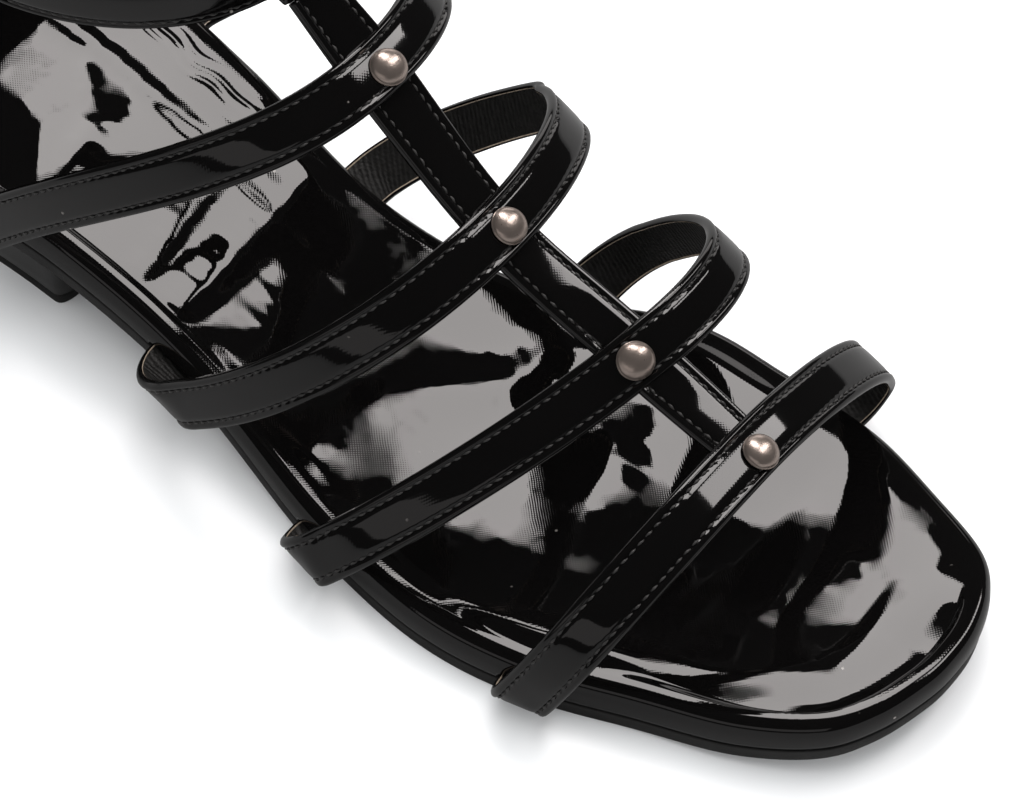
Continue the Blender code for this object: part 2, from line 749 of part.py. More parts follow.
def make_buckle():
    point, across, _, _ = ankle_frame(BUCKLE_ANGLE)
    front = along_ankle(BUCKLE_ANGLE, -BUCKLE_REACH)
    far, _, _, _ = ankle_frame(front, BAR_OFFSET)
    half = STRAP_WIDTH / 2 + BUCKLE_PLAY + BUCKLE_WIRE / 2
    corner = 0.9 * BUCKLE_WIRE
    run = unit(far - point)
    length = np.linalg.norm(far - point)
    path = []
    corners = ((length - corner, half - corner, 0), (corner, half - corner, 90),
               (corner, corner - half, 180), (length - corner, corner - half, 270))
    for x, y, turn in corners:
        for a in np.radians(np.linspace(turn, turn + 90, 5)):
            path.append(point + run * (x + corner * math.cos(a)) + across * (y + corner * math.sin(a)))
    frame = make_tube("buckle_frame", path, BUCKLE_WIRE / 2, "gunmetal", closed=True)
    prong = make_tube("buckle_prong", prong_path(), PRONG_WIRE / 2, "gunmetal")
    return frame, prong


def make_sleeve(name, angle, offset, inside, finish, helper=False, length=LOOP_LENGTH):
    """A flat loop round the ankle strap, curved with it; inside is the thickness it holds."""
    arc = along_ankle(angle, length / 2) - angle
    half = STRAP_WIDTH / 2 + LOOP_CLEAR
    deep = inside / 2 + LOOP_CLEAR
    wall = LOOP_WALL
    chamfer = 0.8 * wall
    inner = ((half, deep), (half, -deep), (-half, -deep), (-half, deep))
    a, b = half + wall, deep + wall
    outer = ((a, b - chamfer), (a, chamfer - b), (a - chamfer, -b), (chamfer - a, -b),
             (-a, chamfer - b), (-a, b - chamfer), (chamfer - a, b), (a - chamfer, b))
    inner = [inner[k] for k in (0, 1, 1, 2, 2, 3, 3, 0)]
    outs, ins = [], []
    for t in np.linspace(-1, 1, 5):
        point, across, face, _ = ankle_frame(angle + arc * t, offset)
        outs.append([point + across * p + face * q for p, q in outer])
        ins.append([point + across * p + face * q for p, q in inner])
    return loops_mesh(name, outs + ins[::-1], finish, helper=helper, closed=True)


def counter_base(way, side):
    """Plan point on the sole's edge, and its station, by the way from the front to the back."""
    station = COUNTER_FRONT * (1 - math.sin(0.5 * math.pi * way))
    return station, np.array([at(station), edge_y(station, side)])


def make_counter():
    """The closed back: a thin wall from the sole's edge up to the loop of the ankle strap."""
    turns = [(w, h, -1) for w, h in COUNTER_EDGE] + [(w, h, 1) for w, h in COUNTER_EDGE[-2::-1]]
    back = ankle_frame(180.0)[0]
    high = back[2] - (STRAP_WIDTH / 2 + LOOP_CLEAR + LOOP_WALL / 2)
    rows = np.linspace(0, 1, 8)
    columns = []
    for way, level, side in turns:
        station, plan = counter_base(way, side)
        start = seam(station) + GAP
        front = seam(station) + INSOLE_THICK + COUNTER_FRONT_RISE
        stop = front + (high - front) * level
        angle = 180.0 + side * -82.0 * (1 - way)
        column = []
        for row in rows:
            z = start + (stop - start) * row
            blend = min(max((z - start) / (high - start), 0.0), 1.0)
            target = ankle_frame(angle)[0][:2]
            bulge = COUNTER_BULGE * math.sin(math.pi * blend) * way
            spot = plan + (target - plan) * smooth(blend) - np.array([bulge, 0.0])
            column.append((spot[0], spot[1], z))
        columns.append(column)
    outer = np.array(columns)
    tangent = np.gradient(outer, axis=0)
    normal = np.stack([tangent[..., 1], -tangent[..., 0], np.zeros(tangent.shape[:2])], axis=-1)
    normal /= np.linalg.norm(normal, axis=-1, keepdims=True)
    inner = outer - normal * COUNTER_WALL
    loops = [list(outer[i]) + list(inner[i][::-1]) for i in range(len(turns))]
    counter = loops_mesh("heel_counter", loops, "patent_black", caps=True)
    loop = make_sleeve("counter_loop", 180.0, 0.0, STRAP_THICK, "patent_black", helper=True)
    boolean(counter, loop, "UNION")
    return counter


def make_keeper():
    angle = along_ankle(BUCKLE_ANGLE, 0.62 * ANKLE_OVERLAP)
    inside = STRAP_THICK + OVER_STRAP
    return make_sleeve("strap_keeper", angle, OVER_STRAP / 2, inside, "patent_black",
                       length=KEEPER_LENGTH)


def main():
    clear_scene()
    make_outsole()
    make_heel()
    make_insole()
    make_upper()
    make_studs()
    make_counter()
    make_ankle_strap()
    make_buckle()
    make_keeper()


main()
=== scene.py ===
"""Looks of the roman sandal: patent straps, stitching, studs, padded footbed, heel and buckle.

Metres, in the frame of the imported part: +X runs from heel to toe, +Y to the inner side of the
foot, +Z up from the floor. A station is a share of LENGTH, 0 at the back of the heel and 1 at
the tip of the toe.
"""

import math

import bmesh
import bpy
import numpy as np
from mathutils import Matrix, Vector


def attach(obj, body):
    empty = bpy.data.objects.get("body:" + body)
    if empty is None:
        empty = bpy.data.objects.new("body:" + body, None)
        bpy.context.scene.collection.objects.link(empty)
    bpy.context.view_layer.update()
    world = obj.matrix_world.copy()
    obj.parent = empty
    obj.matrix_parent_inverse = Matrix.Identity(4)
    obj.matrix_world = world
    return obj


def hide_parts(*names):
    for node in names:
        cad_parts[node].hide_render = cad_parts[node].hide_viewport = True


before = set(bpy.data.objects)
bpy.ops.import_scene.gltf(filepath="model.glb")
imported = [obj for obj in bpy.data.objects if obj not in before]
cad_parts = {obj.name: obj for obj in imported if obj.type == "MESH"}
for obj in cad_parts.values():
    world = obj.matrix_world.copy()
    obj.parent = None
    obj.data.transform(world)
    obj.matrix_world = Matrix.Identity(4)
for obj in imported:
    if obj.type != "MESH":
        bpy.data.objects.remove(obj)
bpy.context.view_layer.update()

RNG = np.random.default_rng(11)
MM = 0.001

# Sole sizes, as in the part's source
LENGTH = 0.250
BALL_WIDTH = 0.080
HEEL_HEIGHT = 0.016
TOE_SPRING = 0.008
OUTSOLE_THICK = 0.0028
OUTSOLE_INSET = 0.0005
INSOLE_THICK = 0.0069
INSOLE_RIM = 0.0038
INSOLE_DISH = 0.0011
HEEL_TAPER = 0.0042
HEEL_INSET = 0.0012
TOP_PIECE_THICK = 0.0022
GAP = 0.0003

# Strap sizes
STRAP_WIDTH = 0.0098
STRAP_THICK = 0.0018
STRAP_SINK = 0.0004
INSTEP_HEIGHT = 0.0824
TAIL = 0.007
TAIL_LIFT = 0.00045
STITCH_PITCH = 0.0020
STITCH_LENGTH = 0.00150
STITCH_RADIUS = 0.00021
STITCH_WAY = 0.67

# Ankle strap and counter sizes
ANKLE_RISE = 0.0126
ANKLE_TILT = 0.004
ANKLE_LENGTH = 0.086
ANKLE_WIDTH = 0.065
ANKLE_OVERLAP = 0.032
LOOP_WALL = 0.0011
LOOP_LENGTH = 0.0098
LOOP_CLEAR = 0.0007
COUNTER_WALL = 0.0018
COUNTER_FRONT_RISE = 0.005
COUNTER_BULGE = 0.0022

# Hardware sizes
STUD_DIAMETER = 0.0066
STUD_RISE = 0.0023
STUD_RIM = 0.0004
STUD_SHANK = 0.0022
STUD_PLATE = 0.0006
BUCKLE_WIRE = 0.0017
BUCKLE_REACH = 0.0125
BUCKLE_PLAY = 0.0009
EYE_WALL = 0.0010
KEEPER_LENGTH = 0.005
PRONG_WIRE = 0.0014

# Stations of the sole, as shares of LENGTH
ORIGIN_AT = 0.16
SEAT_FRONT = 0.28
BREAST_AT = 0.325
BALL_BACK = 0.62
BALL_FRONT = 0.80
COUNTER_FRONT = 0.205
COUNTER_FADE = 0.035
ANKLE_AT = 0.28
BUCKLE_ANGLE = -102.0

# The photograph's view: direction and roll in degrees, what it looks at and how large
PHOTO_WIDTH = 1031
PHOTO_HEIGHT = 802
VIEW_AZIMUTH = 35.84
VIEW_ELEVATION = 53.81
VIEW_ROLL = 2.12
VIEW_TARGET = (0.1170, 0.0038, 0.010)
VIEW_DISTANCE = 0.800
PIXELS_PER_METRE = 5731.3

# Sole outline: station, outer and inner half widths as shares of BALL_WIDTH
OUTLINE = (
    (0.00, 0.000, 0.000),
    (0.03, 0.183, 0.194),
    (0.10, 0.306, 0.310),
    (0.20, 0.359, 0.375),
    (0.32, 0.359, 0.319),
    (0.45, 0.380, 0.264),
    (0.58, 0.475, 0.340),
    (0.68, 0.524, 0.480),
    (0.76, 0.498, 0.495),
    (0.84, 0.414, 0.481),
    (0.91, 0.348, 0.405),
    (0.96, 0.262, 0.330),
    (0.984, 0.161, 0.245),
    (0.997, 0.040, 0.140),
    (1.00, -0.045, 0.045),
)

# Insole rim: inset as a share of the rim, height as a share of the thickness
INSOLE_EDGE = (
    (0.32, 0.00), (0.06, 0.12), (0.00, 0.34), (0.06, 0.62), (0.26, 0.85), (0.58, 0.97), (1.00, 1.00),
)

# Cross straps: station and offset of the crown, its height as a share of INSTEP_HEIGHT, slope
# of the face there in degrees, offsets of centre strap and stud as shares of BALL_WIDTH, how
# far the stud sits ahead and how wide the centre strap is as shares of STRAP_WIDTH
CROWNS = {
    "toe": dict(at=0.829, across=-0.013, rise=0.505, slope=19.7, centre=0.025, stud=0.020,
                ahead=0.120, wide=1.00),
    "ball": dict(at=0.745, across=0.172, rise=0.617, slope=32.5, centre=0.018, stud=0.000,
                 ahead=0.010, wide=1.00),
    "instep": dict(at=0.624, across=-0.013, rise=0.753, slope=31.6, centre=0.002, stud=0.003,
                   ahead=0.060, wide=1.06),
    "top": dict(at=0.518, across=-0.011, rise=1.000, slope=28.7, centre=0.010, stud=0.017,
                ahead=0.120, wide=1.17),
}

# Legs of each strap, outer side first: station of the base, swing as a share of BALL_WIDTH, its
# height as a share of INSTEP_HEIGHT, roundness of the arch, forward lean and twist in degrees
LEGS = {
    "toe": ((0.769, 0.060, 0.079, 2.35, 0.83, 4.0), (0.803, 0.093, 0.097, 1.60, 0.74, 20.0)),
    "ball": ((0.584, 0.091, 0.099, 1.55, 1.13, 7.0), (0.600, 0.136, 0.186, 2.42, 1.27, 10.0)),
    "instep": ((0.426, 0.117, 0.082, 2.19, 0.81, 13.7), (0.431, 0.210, 0.360, 1.85, 1.05, 9.5)),
    "top": ((0.260, 0.103, 0.142, 2.34, 1.37, 9.4), (0.245, 0.144, 0.228, 2.32, 1.06, 11.7)),
}

# Heel counter: height of its edge from the low front to the high back, by the way round
COUNTER_EDGE = (
    (0.00, 0.00), (0.03, 0.13), (0.08, 0.22), (0.15, 0.28), (0.25, 0.33), (0.38, 0.38),
    (0.52, 0.46), (0.64, 0.57), (0.74, 0.74), (0.80, 0.88), (0.86, 1.00), (1.00, 1.00),
)

# Half of a strap's section: share of its half width, side of the strap, rise from that side
# in millimetres and finish of the face that follows
STRAP_SECTION = (
    (0.00, 1, 0.10, "patent"), (0.25, 1, 0.09, "patent"), (0.45, 1, 0.06, "patent"),
    (0.58, 1, -0.02, "patent"), (0.63, 1, -0.20, "patent"), (0.67, 1, -0.30, "patent"),
    (0.71, 1, -0.20, "patent"), (0.76, 1, -0.02, "patent"), (0.83, 1, 0.06, "patent"),
    (0.90, 1, -0.02, "patent"), (0.96, 1, -0.30, "patent"), (1.00, 1, -0.75, "patent"),
    (1.00, -1, 0.80, "patent"), (0.985, -1, 0.25, "patent"), (0.95, -1, 0.05, "patent"),
    (0.90, -1, 0.00, "raw"), (0.87, -1, 0.00, "raw"), (0.86, -1, 0.12, "lining"),
    (0.84, -1, 0.12, "lining"), (0.50, -1, 0.10, "lining"), (0.00, -1, 0.08, "lining"),
)

# Soft troughs and ridges of the insole: station, offset as a share of
# BALL_WIDTH, turn in degrees, half length, half width and height in millimetres, a trough below 0
CREASES = (
    # heel seat, a small wrinkle that branches
    (0.268, 0.119, -7.0, 30.0, 2.1, 0.29),
    (0.184, 0.144, -4.0, 8.0, 3.6, 0.26),
    (0.240, 0.050, 128.0, 6.0, 1.8, 0.24),
    (0.274, -0.063, 100.0, 9.0, 2.8, 0.32),
    # waist, the steps of the arch
    (0.472, -0.200, 86.0, 11.0, 8.0, 0.64),
    (0.412, -0.150, 90.0, 26.0, 3.3, 0.46),
    (0.368, -0.100, 96.0, 30.0, 2.6, 0.34),
    (0.404, 0.163, 84.0, 9.0, 7.0, 0.50),
    # arch to ball
    (0.632, -0.375, 0.0, 12.0, 14.0, -0.90),
    (0.612, 0.100, 54.0, 24.0, 5.6, 0.84),
    (0.568, -0.250, 0.0, 9.0, 13.0, 0.70),
    # ball
    (0.768, -0.325, 5.0, 16.0, 22.0, 1.15),
    (0.736, 0.388, 5.0, 15.0, 17.0, 1.30),
    (0.712, 0.075, 97.0, 10.0, 4.5, 0.46),
    # toe
    (0.820, 0.075, 0.0, 8.0, 15.0, -1.00),
    (0.936, -0.050, 0.0, 9.0, 13.0, -1.10),
    (0.864, 0.150, 105.0, 20.0, 5.0, 0.35),
)

# Flank of the insole's hollow on the outer side: station, start and width in millimetres
HOLLOW = (
    (0.000, 4.0, 17.0), (0.240, 4.0, 17.0), (0.288, -0.5, 4.5), (0.416, -0.5, 4.5), (0.488, 3.0, 20.0),
    (1.000, 3.0, 20.0),
)
INNER_FLANK = (3.0, 18.0)

# Toe of the insole that rolls down to the rim: depth and reach in millimetres, first and last
# station, and where it fades towards the inner side
TOE_ROLL = dict(depth=2.6, reach=8.0, tip_reach=14.0, first=0.80, last=0.968, fade=2.0, gone=18.0)

# Fine ripples of the film beside the rim: first and last station, side, first and last distance
# from the edge, pitch and height in millimetres
RIPPLES = (
    (0.12, 0.40, 1, 4.5, 12.5, 2.2, 0.160),
    (0.27, 0.46, -1, 2.0, 7.5, 1.9, 0.110),
    (0.55, 0.72, -1, 4.0, 9.0, 2.8, 0.045),
    (0.80, 0.90, -1, 3.5, 8.0, 2.4, 0.040),
)


# Helpers


def smooth(t):
    t = np.clip(t, 0.0, 1.0)
    return t * t * (3 - 2 * t)


def unit(vector):
    return vector / np.linalg.norm(vector, axis=-1, keepdims=True)


def through(points, steps, closed=False):
    """Points of a smooth curve that passes through the given points."""
    points = np.asarray(points, float)
    last = len(points) if closed else len(points) - 1
    t = (np.arange(steps) / steps)[:, None]
    found = []
    for i in range(last):
        if closed:
            a, b, c, d = (points[(i + k) % len(points)] for k in (-1, 0, 1, 2))
        else:
            b, c = points[i], points[i + 1]
            a = points[i - 1] if i else 2 * b - c
            d = points[i + 2] if i + 2 < len(points) else 2 * c - b
        found.append(
            0.5 * (2 * b + (c - a) * t + (2 * a - 5 * b + 4 * c - d) * t**2
                   + (3 * b - a - 3 * c + d) * t**3)
        )
    if not closed:
        found.append(points[-1:])
    return np.vstack(found)


def run_length(points):
    """Distance along a line of points, from its first point."""
    return np.r_[0, np.cumsum(np.linalg.norm(np.diff(points, axis=0), axis=1))]


def spaced(points, count):
    """The same curve with evenly spaced points."""
    ends = run_length(points)
    wanted = np.linspace(0, ends[-1], count)
    return np.stack([np.interp(wanted, ends, points[:, k]) for k in range(3)], axis=1)


def skin(name, grid, finishes, by_column=None, ring=True, closed=False, caps=False, uv=None):
    """A smooth mesh over a grid of points: rows along the piece, columns round it.

    finishes are materials, by_column the finish of each column, and uv the metres along and
    round at each row and column, with one column more where the grid is a ring.
    """
    grid = np.asarray(grid, float)
    rows, columns = grid.shape[:2]
    down = np.arange(rows if closed else rows - 1)
    over = np.arange(columns if ring else columns - 1)
    r, c = (a.ravel() for a in np.meshgrid(down, over, indexing="ij"))
    r2, c2 = (r + 1) % rows, (c + 1) % columns
    faces = np.stack([r * columns + c, r * columns + c2, r2 * columns + c2, r2 * columns + c], 1)
    faces = faces.tolist()
    if caps:
        faces += [list(range(columns)), list(range((rows - 1) * columns, rows * columns))]
    mesh = bpy.data.meshes.new(name)
    mesh.from_pydata(grid.reshape(-1, 3).tolist(), [], faces)
    for finish in finishes:
        mesh.materials.append(finish)
    if by_column is not None:
        index = np.zeros(len(faces), np.int32)
        index[: len(c)] = np.asarray(by_column)[c]
        mesh.polygons.foreach_set("material_index", index)
    if uv is not None:
        along, around = (np.asarray(a, float) for a in uv)
        corner = np.zeros((len(mesh.loops), 2))
        quads = np.stack([
            np.stack([along[r], around[c]], 1), np.stack([along[r], around[c + 1]], 1),
            np.stack([along[r + 1], around[c + 1]], 1), np.stack([along[r + 1], around[c]], 1),
        ], 1).reshape(-1, 2)
        corner[: len(quads)] = quads
        mesh.uv_layers.new(name="UVMap").data.foreach_set("uv", corner.ravel())
    work = bmesh.new()
    work.from_mesh(mesh)
    bmesh.ops.remove_doubles(work, verts=work.verts, dist=1e-6)
    bmesh.ops.dissolve_degenerate(work, edges=work.edges, dist=1e-7)
    bmesh.ops.recalc_face_normals(work, faces=work.faces)
    work.to_mesh(mesh)
    work.free()
    mesh.shade_smooth()
    piece = bpy.data.objects.new(name, mesh)
    bpy.context.scene.collection.objects.link(piece)
    return piece


def place(piece, slot, *nodes):
    """Every piece of the shoe rides on its one body, and the model's parts that it stands for are
    hidden; slot is not used.
    """
    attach(piece, "root")
    if nodes:
        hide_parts(*nodes)
    return piece


# Node groups


def group(name, inputs, outputs):
    """A shader node group with named sockets, and its input and output nodes."""
    made = bpy.data.node_groups.new(name, "ShaderNodeTree")
    for label, kind, value in inputs:
        socket = made.interface.new_socket(name=label, in_out="INPUT", socket_type=kind)
        if value is not None:
            socket.default_value = value
    for label, kind in outputs:
        made.interface.new_socket(name=label, in_out="OUTPUT", socket_type=kind)
    return made, made.nodes.new("NodeGroupInput"), made.nodes.new("NodeGroupOutput")


def math_node(tree, operation, *values):
    node = tree.nodes.new("ShaderNodeMath")
    node.operation = operation
    for i, value in enumerate(values):
        if isinstance(value, (int, float)):
            node.inputs[i].default_value = value
        else:
            tree.links.new(value, node.inputs[i])
    return node.outputs[0]


def noise(tree, vector, scale, detail=2.0, roughness=0.5, kind="Fac"):
    node = tree.nodes.new("ShaderNodeTexNoise")
    tree.links.new(vector, node.inputs["Vector"])
    if isinstance(scale, (int, float)):
        node.inputs["Scale"].default_value = scale
    else:
        tree.links.new(scale, node.inputs["Scale"])
    node.inputs["Detail"].default_value = detail
    node.inputs["Roughness"].default_value = roughness
    return node.outputs[kind]


def ramp(tree, value, low, high, start=0.0, stop=1.0):
    """A value spread from low..high to start..stop, held at both ends."""
    node = tree.nodes.new("ShaderNodeMapRange")
    tree.links.new(value, node.inputs["Value"])
    for label, number in (("From Min", low), ("From Max", high), ("To Min", start), ("To Max", stop)):
        node.inputs[label].default_value = number
    return node.outputs["Result"]


def weave_group():
    """Fine cloth under the patent film: crossing threads, a little uneven."""
    made, inner, outer = group(
        "backing_weave",
        [("Vector", "NodeSocketVector", None), ("Pitch", "NodeSocketFloat", 0.0007)],
        [("Height", "NodeSocketFloat")],
    )
    warp = noise(made, inner.outputs["Vector"], 260.0, 2.0, 0.5, "Color")
    shift = made.nodes.new("ShaderNodeVectorMath")
    shift.operation = "MULTIPLY_ADD"
    made.links.new(warp, shift.inputs[0])
    shift.inputs[1].default_value = (0.0005, 0.0005, 0.0005)
    made.links.new(inner.outputs["Vector"], shift.inputs[2])
    split = made.nodes.new("ShaderNodeSeparateXYZ")
    made.links.new(shift.outputs[0], split.inputs[0])
    threads = []
    for axis in ("X", "Y"):
        turns = math_node(made, "DIVIDE", split.outputs[axis], inner.outputs["Pitch"])
        wave = math_node(made, "SINE", math_node(made, "MULTIPLY", turns, 2 * math.pi))
        threads.append(wave)
    cross = math_node(made, "MULTIPLY", threads[0], threads[1])
    patch = ramp(made, noise(made, inner.outputs["Vector"], 90.0, 3.0, 0.6), 0.45, 0.72, 0.12, 1.6)
    made.links.new(math_node(made, "MULTIPLY", cross, patch), outer.inputs["Height"])
    return made


def specks_group():
    """Sparse dust specks and short fine scratches: a mask for each."""
    made, inner, outer = group(
        "specks_and_scratches",
        [("Vector", "NodeSocketVector", None)],
        [("Specks", "NodeSocketFloat"), ("Scratches", "NodeSocketFloat")],
    )
    cells = made.nodes.new("ShaderNodeTexVoronoi")
    cells.inputs["Scale"].default_value = 260.0
    made.links.new(inner.outputs["Vector"], cells.inputs["Vector"])
    dots = ramp(made, cells.outputs["Distance"], 0.05, 0.09, 1.0, 0.0)
    rare = ramp(made, noise(made, inner.outputs["Vector"], 60.0, 1.0), 0.62, 0.66)
    made.links.new(math_node(made, "MULTIPLY", dots, rare), outer.inputs["Specks"])
    stretch = made.nodes.new("ShaderNodeMapping")
    stretch.inputs["Rotation"].default_value = (0.0, 0.0, math.radians(38))
    stretch.inputs["Scale"].default_value = (40.0, 900.0, 300.0)
    made.links.new(inner.outputs["Vector"], stretch.inputs["Vector"])
    lines = ramp(made, noise(made, stretch.outputs["Vector"], 1.0, 1.0), 0.70, 0.74)
    made.links.new(math_node(made, "MULTIPLY", lines, rare), outer.inputs["Scratches"])
    return made


def grain_group():
    """Leather or coated cloth grain: small cells over fine noise."""
    made, inner, outer = group(
        "lining_grain",
        [("Vector", "NodeSocketVector", None), ("Scale", "NodeSocketFloat", 1600.0)],
        [("Height", "NodeSocketFloat")],
    )
    cells = made.nodes.new("ShaderNodeTexVoronoi")
    made.links.new(inner.outputs["Vector"], cells.inputs["Vector"])
    made.links.new(inner.outputs["Scale"], cells.inputs["Scale"])
    fine = noise(made, inner.outputs["Vector"], 2600.0, 3.0, 0.6)
    made.links.new(math_node(made, "MULTIPLY_ADD", fine, 0.5, cells.outputs["Distance"]),
                   outer.inputs["Height"])
    return made


def ribs_group():
    """Soft slanting ribs of a lining, by the metres along and round the strap."""
    made, inner, outer = group(
        "lining_ribs",
        [("Vector", "NodeSocketVector", None), ("Pitch", "NodeSocketFloat", 0.0011)],
        [("Height", "NodeSocketFloat")],
    )
    split = made.nodes.new("ShaderNodeSeparateXYZ")
    made.links.new(inner.outputs["Vector"], split.inputs[0])
    slant = math_node(made, "MULTIPLY_ADD", split.outputs["Y"], 0.45, split.outputs["X"])
    uneven = noise(made, inner.outputs["Vector"], 330.0, 2.0)
    bent = math_node(made, "MULTIPLY_ADD", uneven, 0.0007, slant)
    turns = math_node(made, "DIVIDE", bent, inner.outputs["Pitch"])
    wave = math_node(made, "SINE", math_node(made, "MULTIPLY", turns, 2 * math.pi))
    made.links.new(wave, outer.inputs["Height"])
    return made


GROUPS = {}
BLACK = (0.0012, 0.0011, 0.0011)


def effect(tree, name, vector, **values):
    """One of the shared node groups, placed in a material."""
    if name not in GROUPS:
        GROUPS[name] = {"weave": weave_group, "specks": specks_group, "grain": grain_group,
                        "ribs": ribs_group}[name]()
    node = tree.nodes.new("ShaderNodeGroup")
    node.node_tree = GROUPS[name]
    tree.links.new(vector, node.inputs["Vector"])
    for label, value in values.items():
        node.inputs[label].default_value = value
    return node.outputs


# Materials


def new_material(name, **sockets):
    made = bpy.data.materials.new(name)
    made.use_nodes = True
    tree = made.node_tree
    shader = tree.nodes["Principled BSDF"]
    for label, value in sockets.items():
        shader.inputs[label.replace("_", " ")].default_value = value
    where = tree.nodes.new("ShaderNodeTexCoord")
    return made, tree, shader, where


def bump(tree, shader, height, distance, strength=1.0, before=None, coat=False):
    """A bump of a real depth in metres, laid over an earlier one if given."""
    node = tree.nodes.new("ShaderNodeBump")
    node.inputs["Distance"].default_value = distance
    node.inputs["Strength"].default_value = strength
    tree.links.new(height, node.inputs["Height"])
    if before is not None:
        tree.links.new(before, node.inputs["Normal"])
    tree.links.new(node.outputs["Normal"], shader.inputs["Normal"])
    if coat:
        tree.links.new(node.outputs["Normal"], shader.inputs["Coat Normal"])
    return node.outputs["Normal"]


def mix(tree, factor, first, second):
    """A colour between two, by a mask."""
    node = tree.nodes.new("ShaderNodeMix")
    node.data_type = "RGBA"
    tree.links.new(factor, node.inputs["Factor"])
    for value, label in ((first, "A"), (second, "B")):
        socket = next(s for s in node.inputs if s.name == label and s.type == "RGBA")
        if isinstance(value, tuple):
            socket.default_value = (*value, 1.0)
        else:
            tree.links.new(value, socket)
    return next(s for s in node.outputs if s.type == "RGBA")


def patent_material(name, colour, film, weave_depth, wave_depth, pitch=0.0006):
    """Black patent: a clear glossy film over black cloth backed leather."""
    made, tree, shader, where = new_material(
        name, Roughness=0.5, Coat_Weight=1.0, Coat_Roughness=film, Coat_IOR=1.5)
    shader.inputs["Specular IOR Level"].default_value = 0.0
    spot = where.outputs["Object"]
    marks = effect(tree, "specks", spot)
    tone = mix(tree, noise(tree, spot, 45.0, 3.0), colour, tuple(1.6 * c for c in colour))
    dusty = mix(tree, marks["Specks"], tone, (0.16, 0.15, 0.14))
    tree.links.new(dusty, shader.inputs["Base Color"])
    gloss = ramp(tree, noise(tree, spot, 30.0, 4.0, 0.6), 0.35, 0.7, 0.42, 0.6)
    tree.links.new(gloss, shader.inputs["Roughness"])
    wave = bump(tree, shader, noise(tree, spot, 130.0, 2.0, 0.4), wave_depth)
    threads = effect(tree, "weave", spot, Pitch=pitch)
    bump(tree, shader, threads["Height"], weave_depth, before=wave, coat=True)
    return made


def lining_material():
    made, tree, shader, where = new_material("dull_black_lining", Roughness=0.55)
    shader.inputs["Specular IOR Level"].default_value = 0.35
    spot = where.outputs["Object"]
    tone = mix(tree, noise(tree, spot, 500.0, 4.0, 0.7), (0.003, 0.003, 0.003), (0.014, 0.013, 0.012))
    tree.links.new(tone, shader.inputs["Base Color"])
    grain = effect(tree, "grain", spot, Scale=1500.0)
    cells = bump(tree, shader, grain["Height"], 0.00012)
    ribs = effect(tree, "ribs", where.outputs["UV"], Pitch=0.0011)
    bump(tree, shader, ribs["Height"], 0.00005, before=cells)
    return made


def raw_edge_material():
    made, tree, shader, where = new_material("cut_edge_tan", Roughness=0.75)
    spot = where.outputs["Object"]
    tone = mix(tree, noise(tree, spot, 900.0, 3.0, 0.7), (0.10, 0.075, 0.055), (0.42, 0.34, 0.26))
    tree.links.new(tone, shader.inputs["Base Color"])
    bump(tree, shader, noise(tree, spot, 1800.0, 2.0), 0.00008)
    return made


def thread_material():
    made, tree, shader, where = new_material("black_waxed_thread", Roughness=0.42)
    spot = where.outputs["Object"]
    tone = mix(tree, noise(tree, spot, 1200.0, 2.0), (0.010, 0.010, 0.010), (0.035, 0.033, 0.032))
    tree.links.new(tone, shader.inputs["Base Color"])
    bump(tree, shader, noise(tree, spot, 5200.0, 2.0), 0.00005)
    return made


def metal_material():
    made, tree, shader, where = new_material("dark_nickel", Metallic=0.93)
    spot = where.outputs["Object"]
    tone = mix(tree, noise(tree, spot, 300.0, 4.0, 0.6), (0.40, 0.33, 0.29), (0.56, 0.47, 0.42))
    tree.links.new(tone, shader.inputs["Base Color"])
    rough = ramp(tree, noise(tree, spot, 900.0, 4.0, 0.7), 0.3, 0.75, 0.27, 0.34)
    tree.links.new(rough, shader.inputs["Roughness"])
    bump(tree, shader, noise(tree, spot, 2600.0, 2.0), 0.00002)
    return made


def outsole_material():
    made, tree, shader, where = new_material("dark_grey_sole", Roughness=0.5)
    spot = where.outputs["Object"]
    tone = mix(tree, noise(tree, spot, 220.0, 5.0, 0.65), (0.003, 0.003, 0.003), (0.010, 0.0095, 0.009))
    tree.links.new(tone, shader.inputs["Base Color"])
    rough = ramp(tree, noise(tree, spot, 120.0, 3.0), 0.3, 0.7, 0.36, 0.55)
    tree.links.new(rough, shader.inputs["Roughness"])
    bump(tree, shader, noise(tree, spot, 1500.0, 4.0, 0.7), 0.00008)
    return made


def floor_material():
    """Pale paper, painted dark grey for glossy rays alone: a painted darker reflection of the floor in
    the patent.
    """
    made, tree, shader, where = new_material("pale_floor", Roughness=0.9)
    shader.inputs["Specular IOR Level"].default_value = 0.0
    spot = where.outputs["Object"]
    tone = mix(tree, noise(tree, spot, 3.0, 2.0), (0.70, 0.71, 0.72), (0.73, 0.74, 0.75))
    # Painted reflection: for glossy rays the floor's colour is a dark grey, so the patent mirrors a
    # darker floor than the camera sees.
    path = tree.nodes.new("ShaderNodeLightPath")
    floor_with_painted_dark_reflection = mix(tree, path.outputs["Is Glossy Ray"], tone, (0.20, 0.20, 0.20))
    tree.links.new(floor_with_painted_dark_reflection, shader.inputs["Base Color"])
    return made


# Sole


def at(station):
    return (station - ORIGIN_AT) * LENGTH


def outline_curve():
    outer = [(s * LENGTH, -w * BALL_WIDTH) for s, w, _ in OUTLINE]
    inner = [(s * LENGTH, w * BALL_WIDTH) for s, _, w in OUTLINE]
    tip = (LENGTH, 0.5 * (outer[-1][1] + inner[-1][1]))
    knots = outer[:-1] + [tip] + inner[1:-1][::-1]
    curve = through(knots, 72, closed=True)
    turn = int(np.argmax(curve[:, 0]))
    first, second = curve[: turn + 1], np.vstack([curve[turn:], curve[:1]])[::-1]
    return {-1: first, 1: second}


EDGE = outline_curve()


def edge_y(station, side):
    curve = EDGE[side]
    return np.interp(np.asarray(station) * LENGTH, curve[:, 0], curve[:, 1])


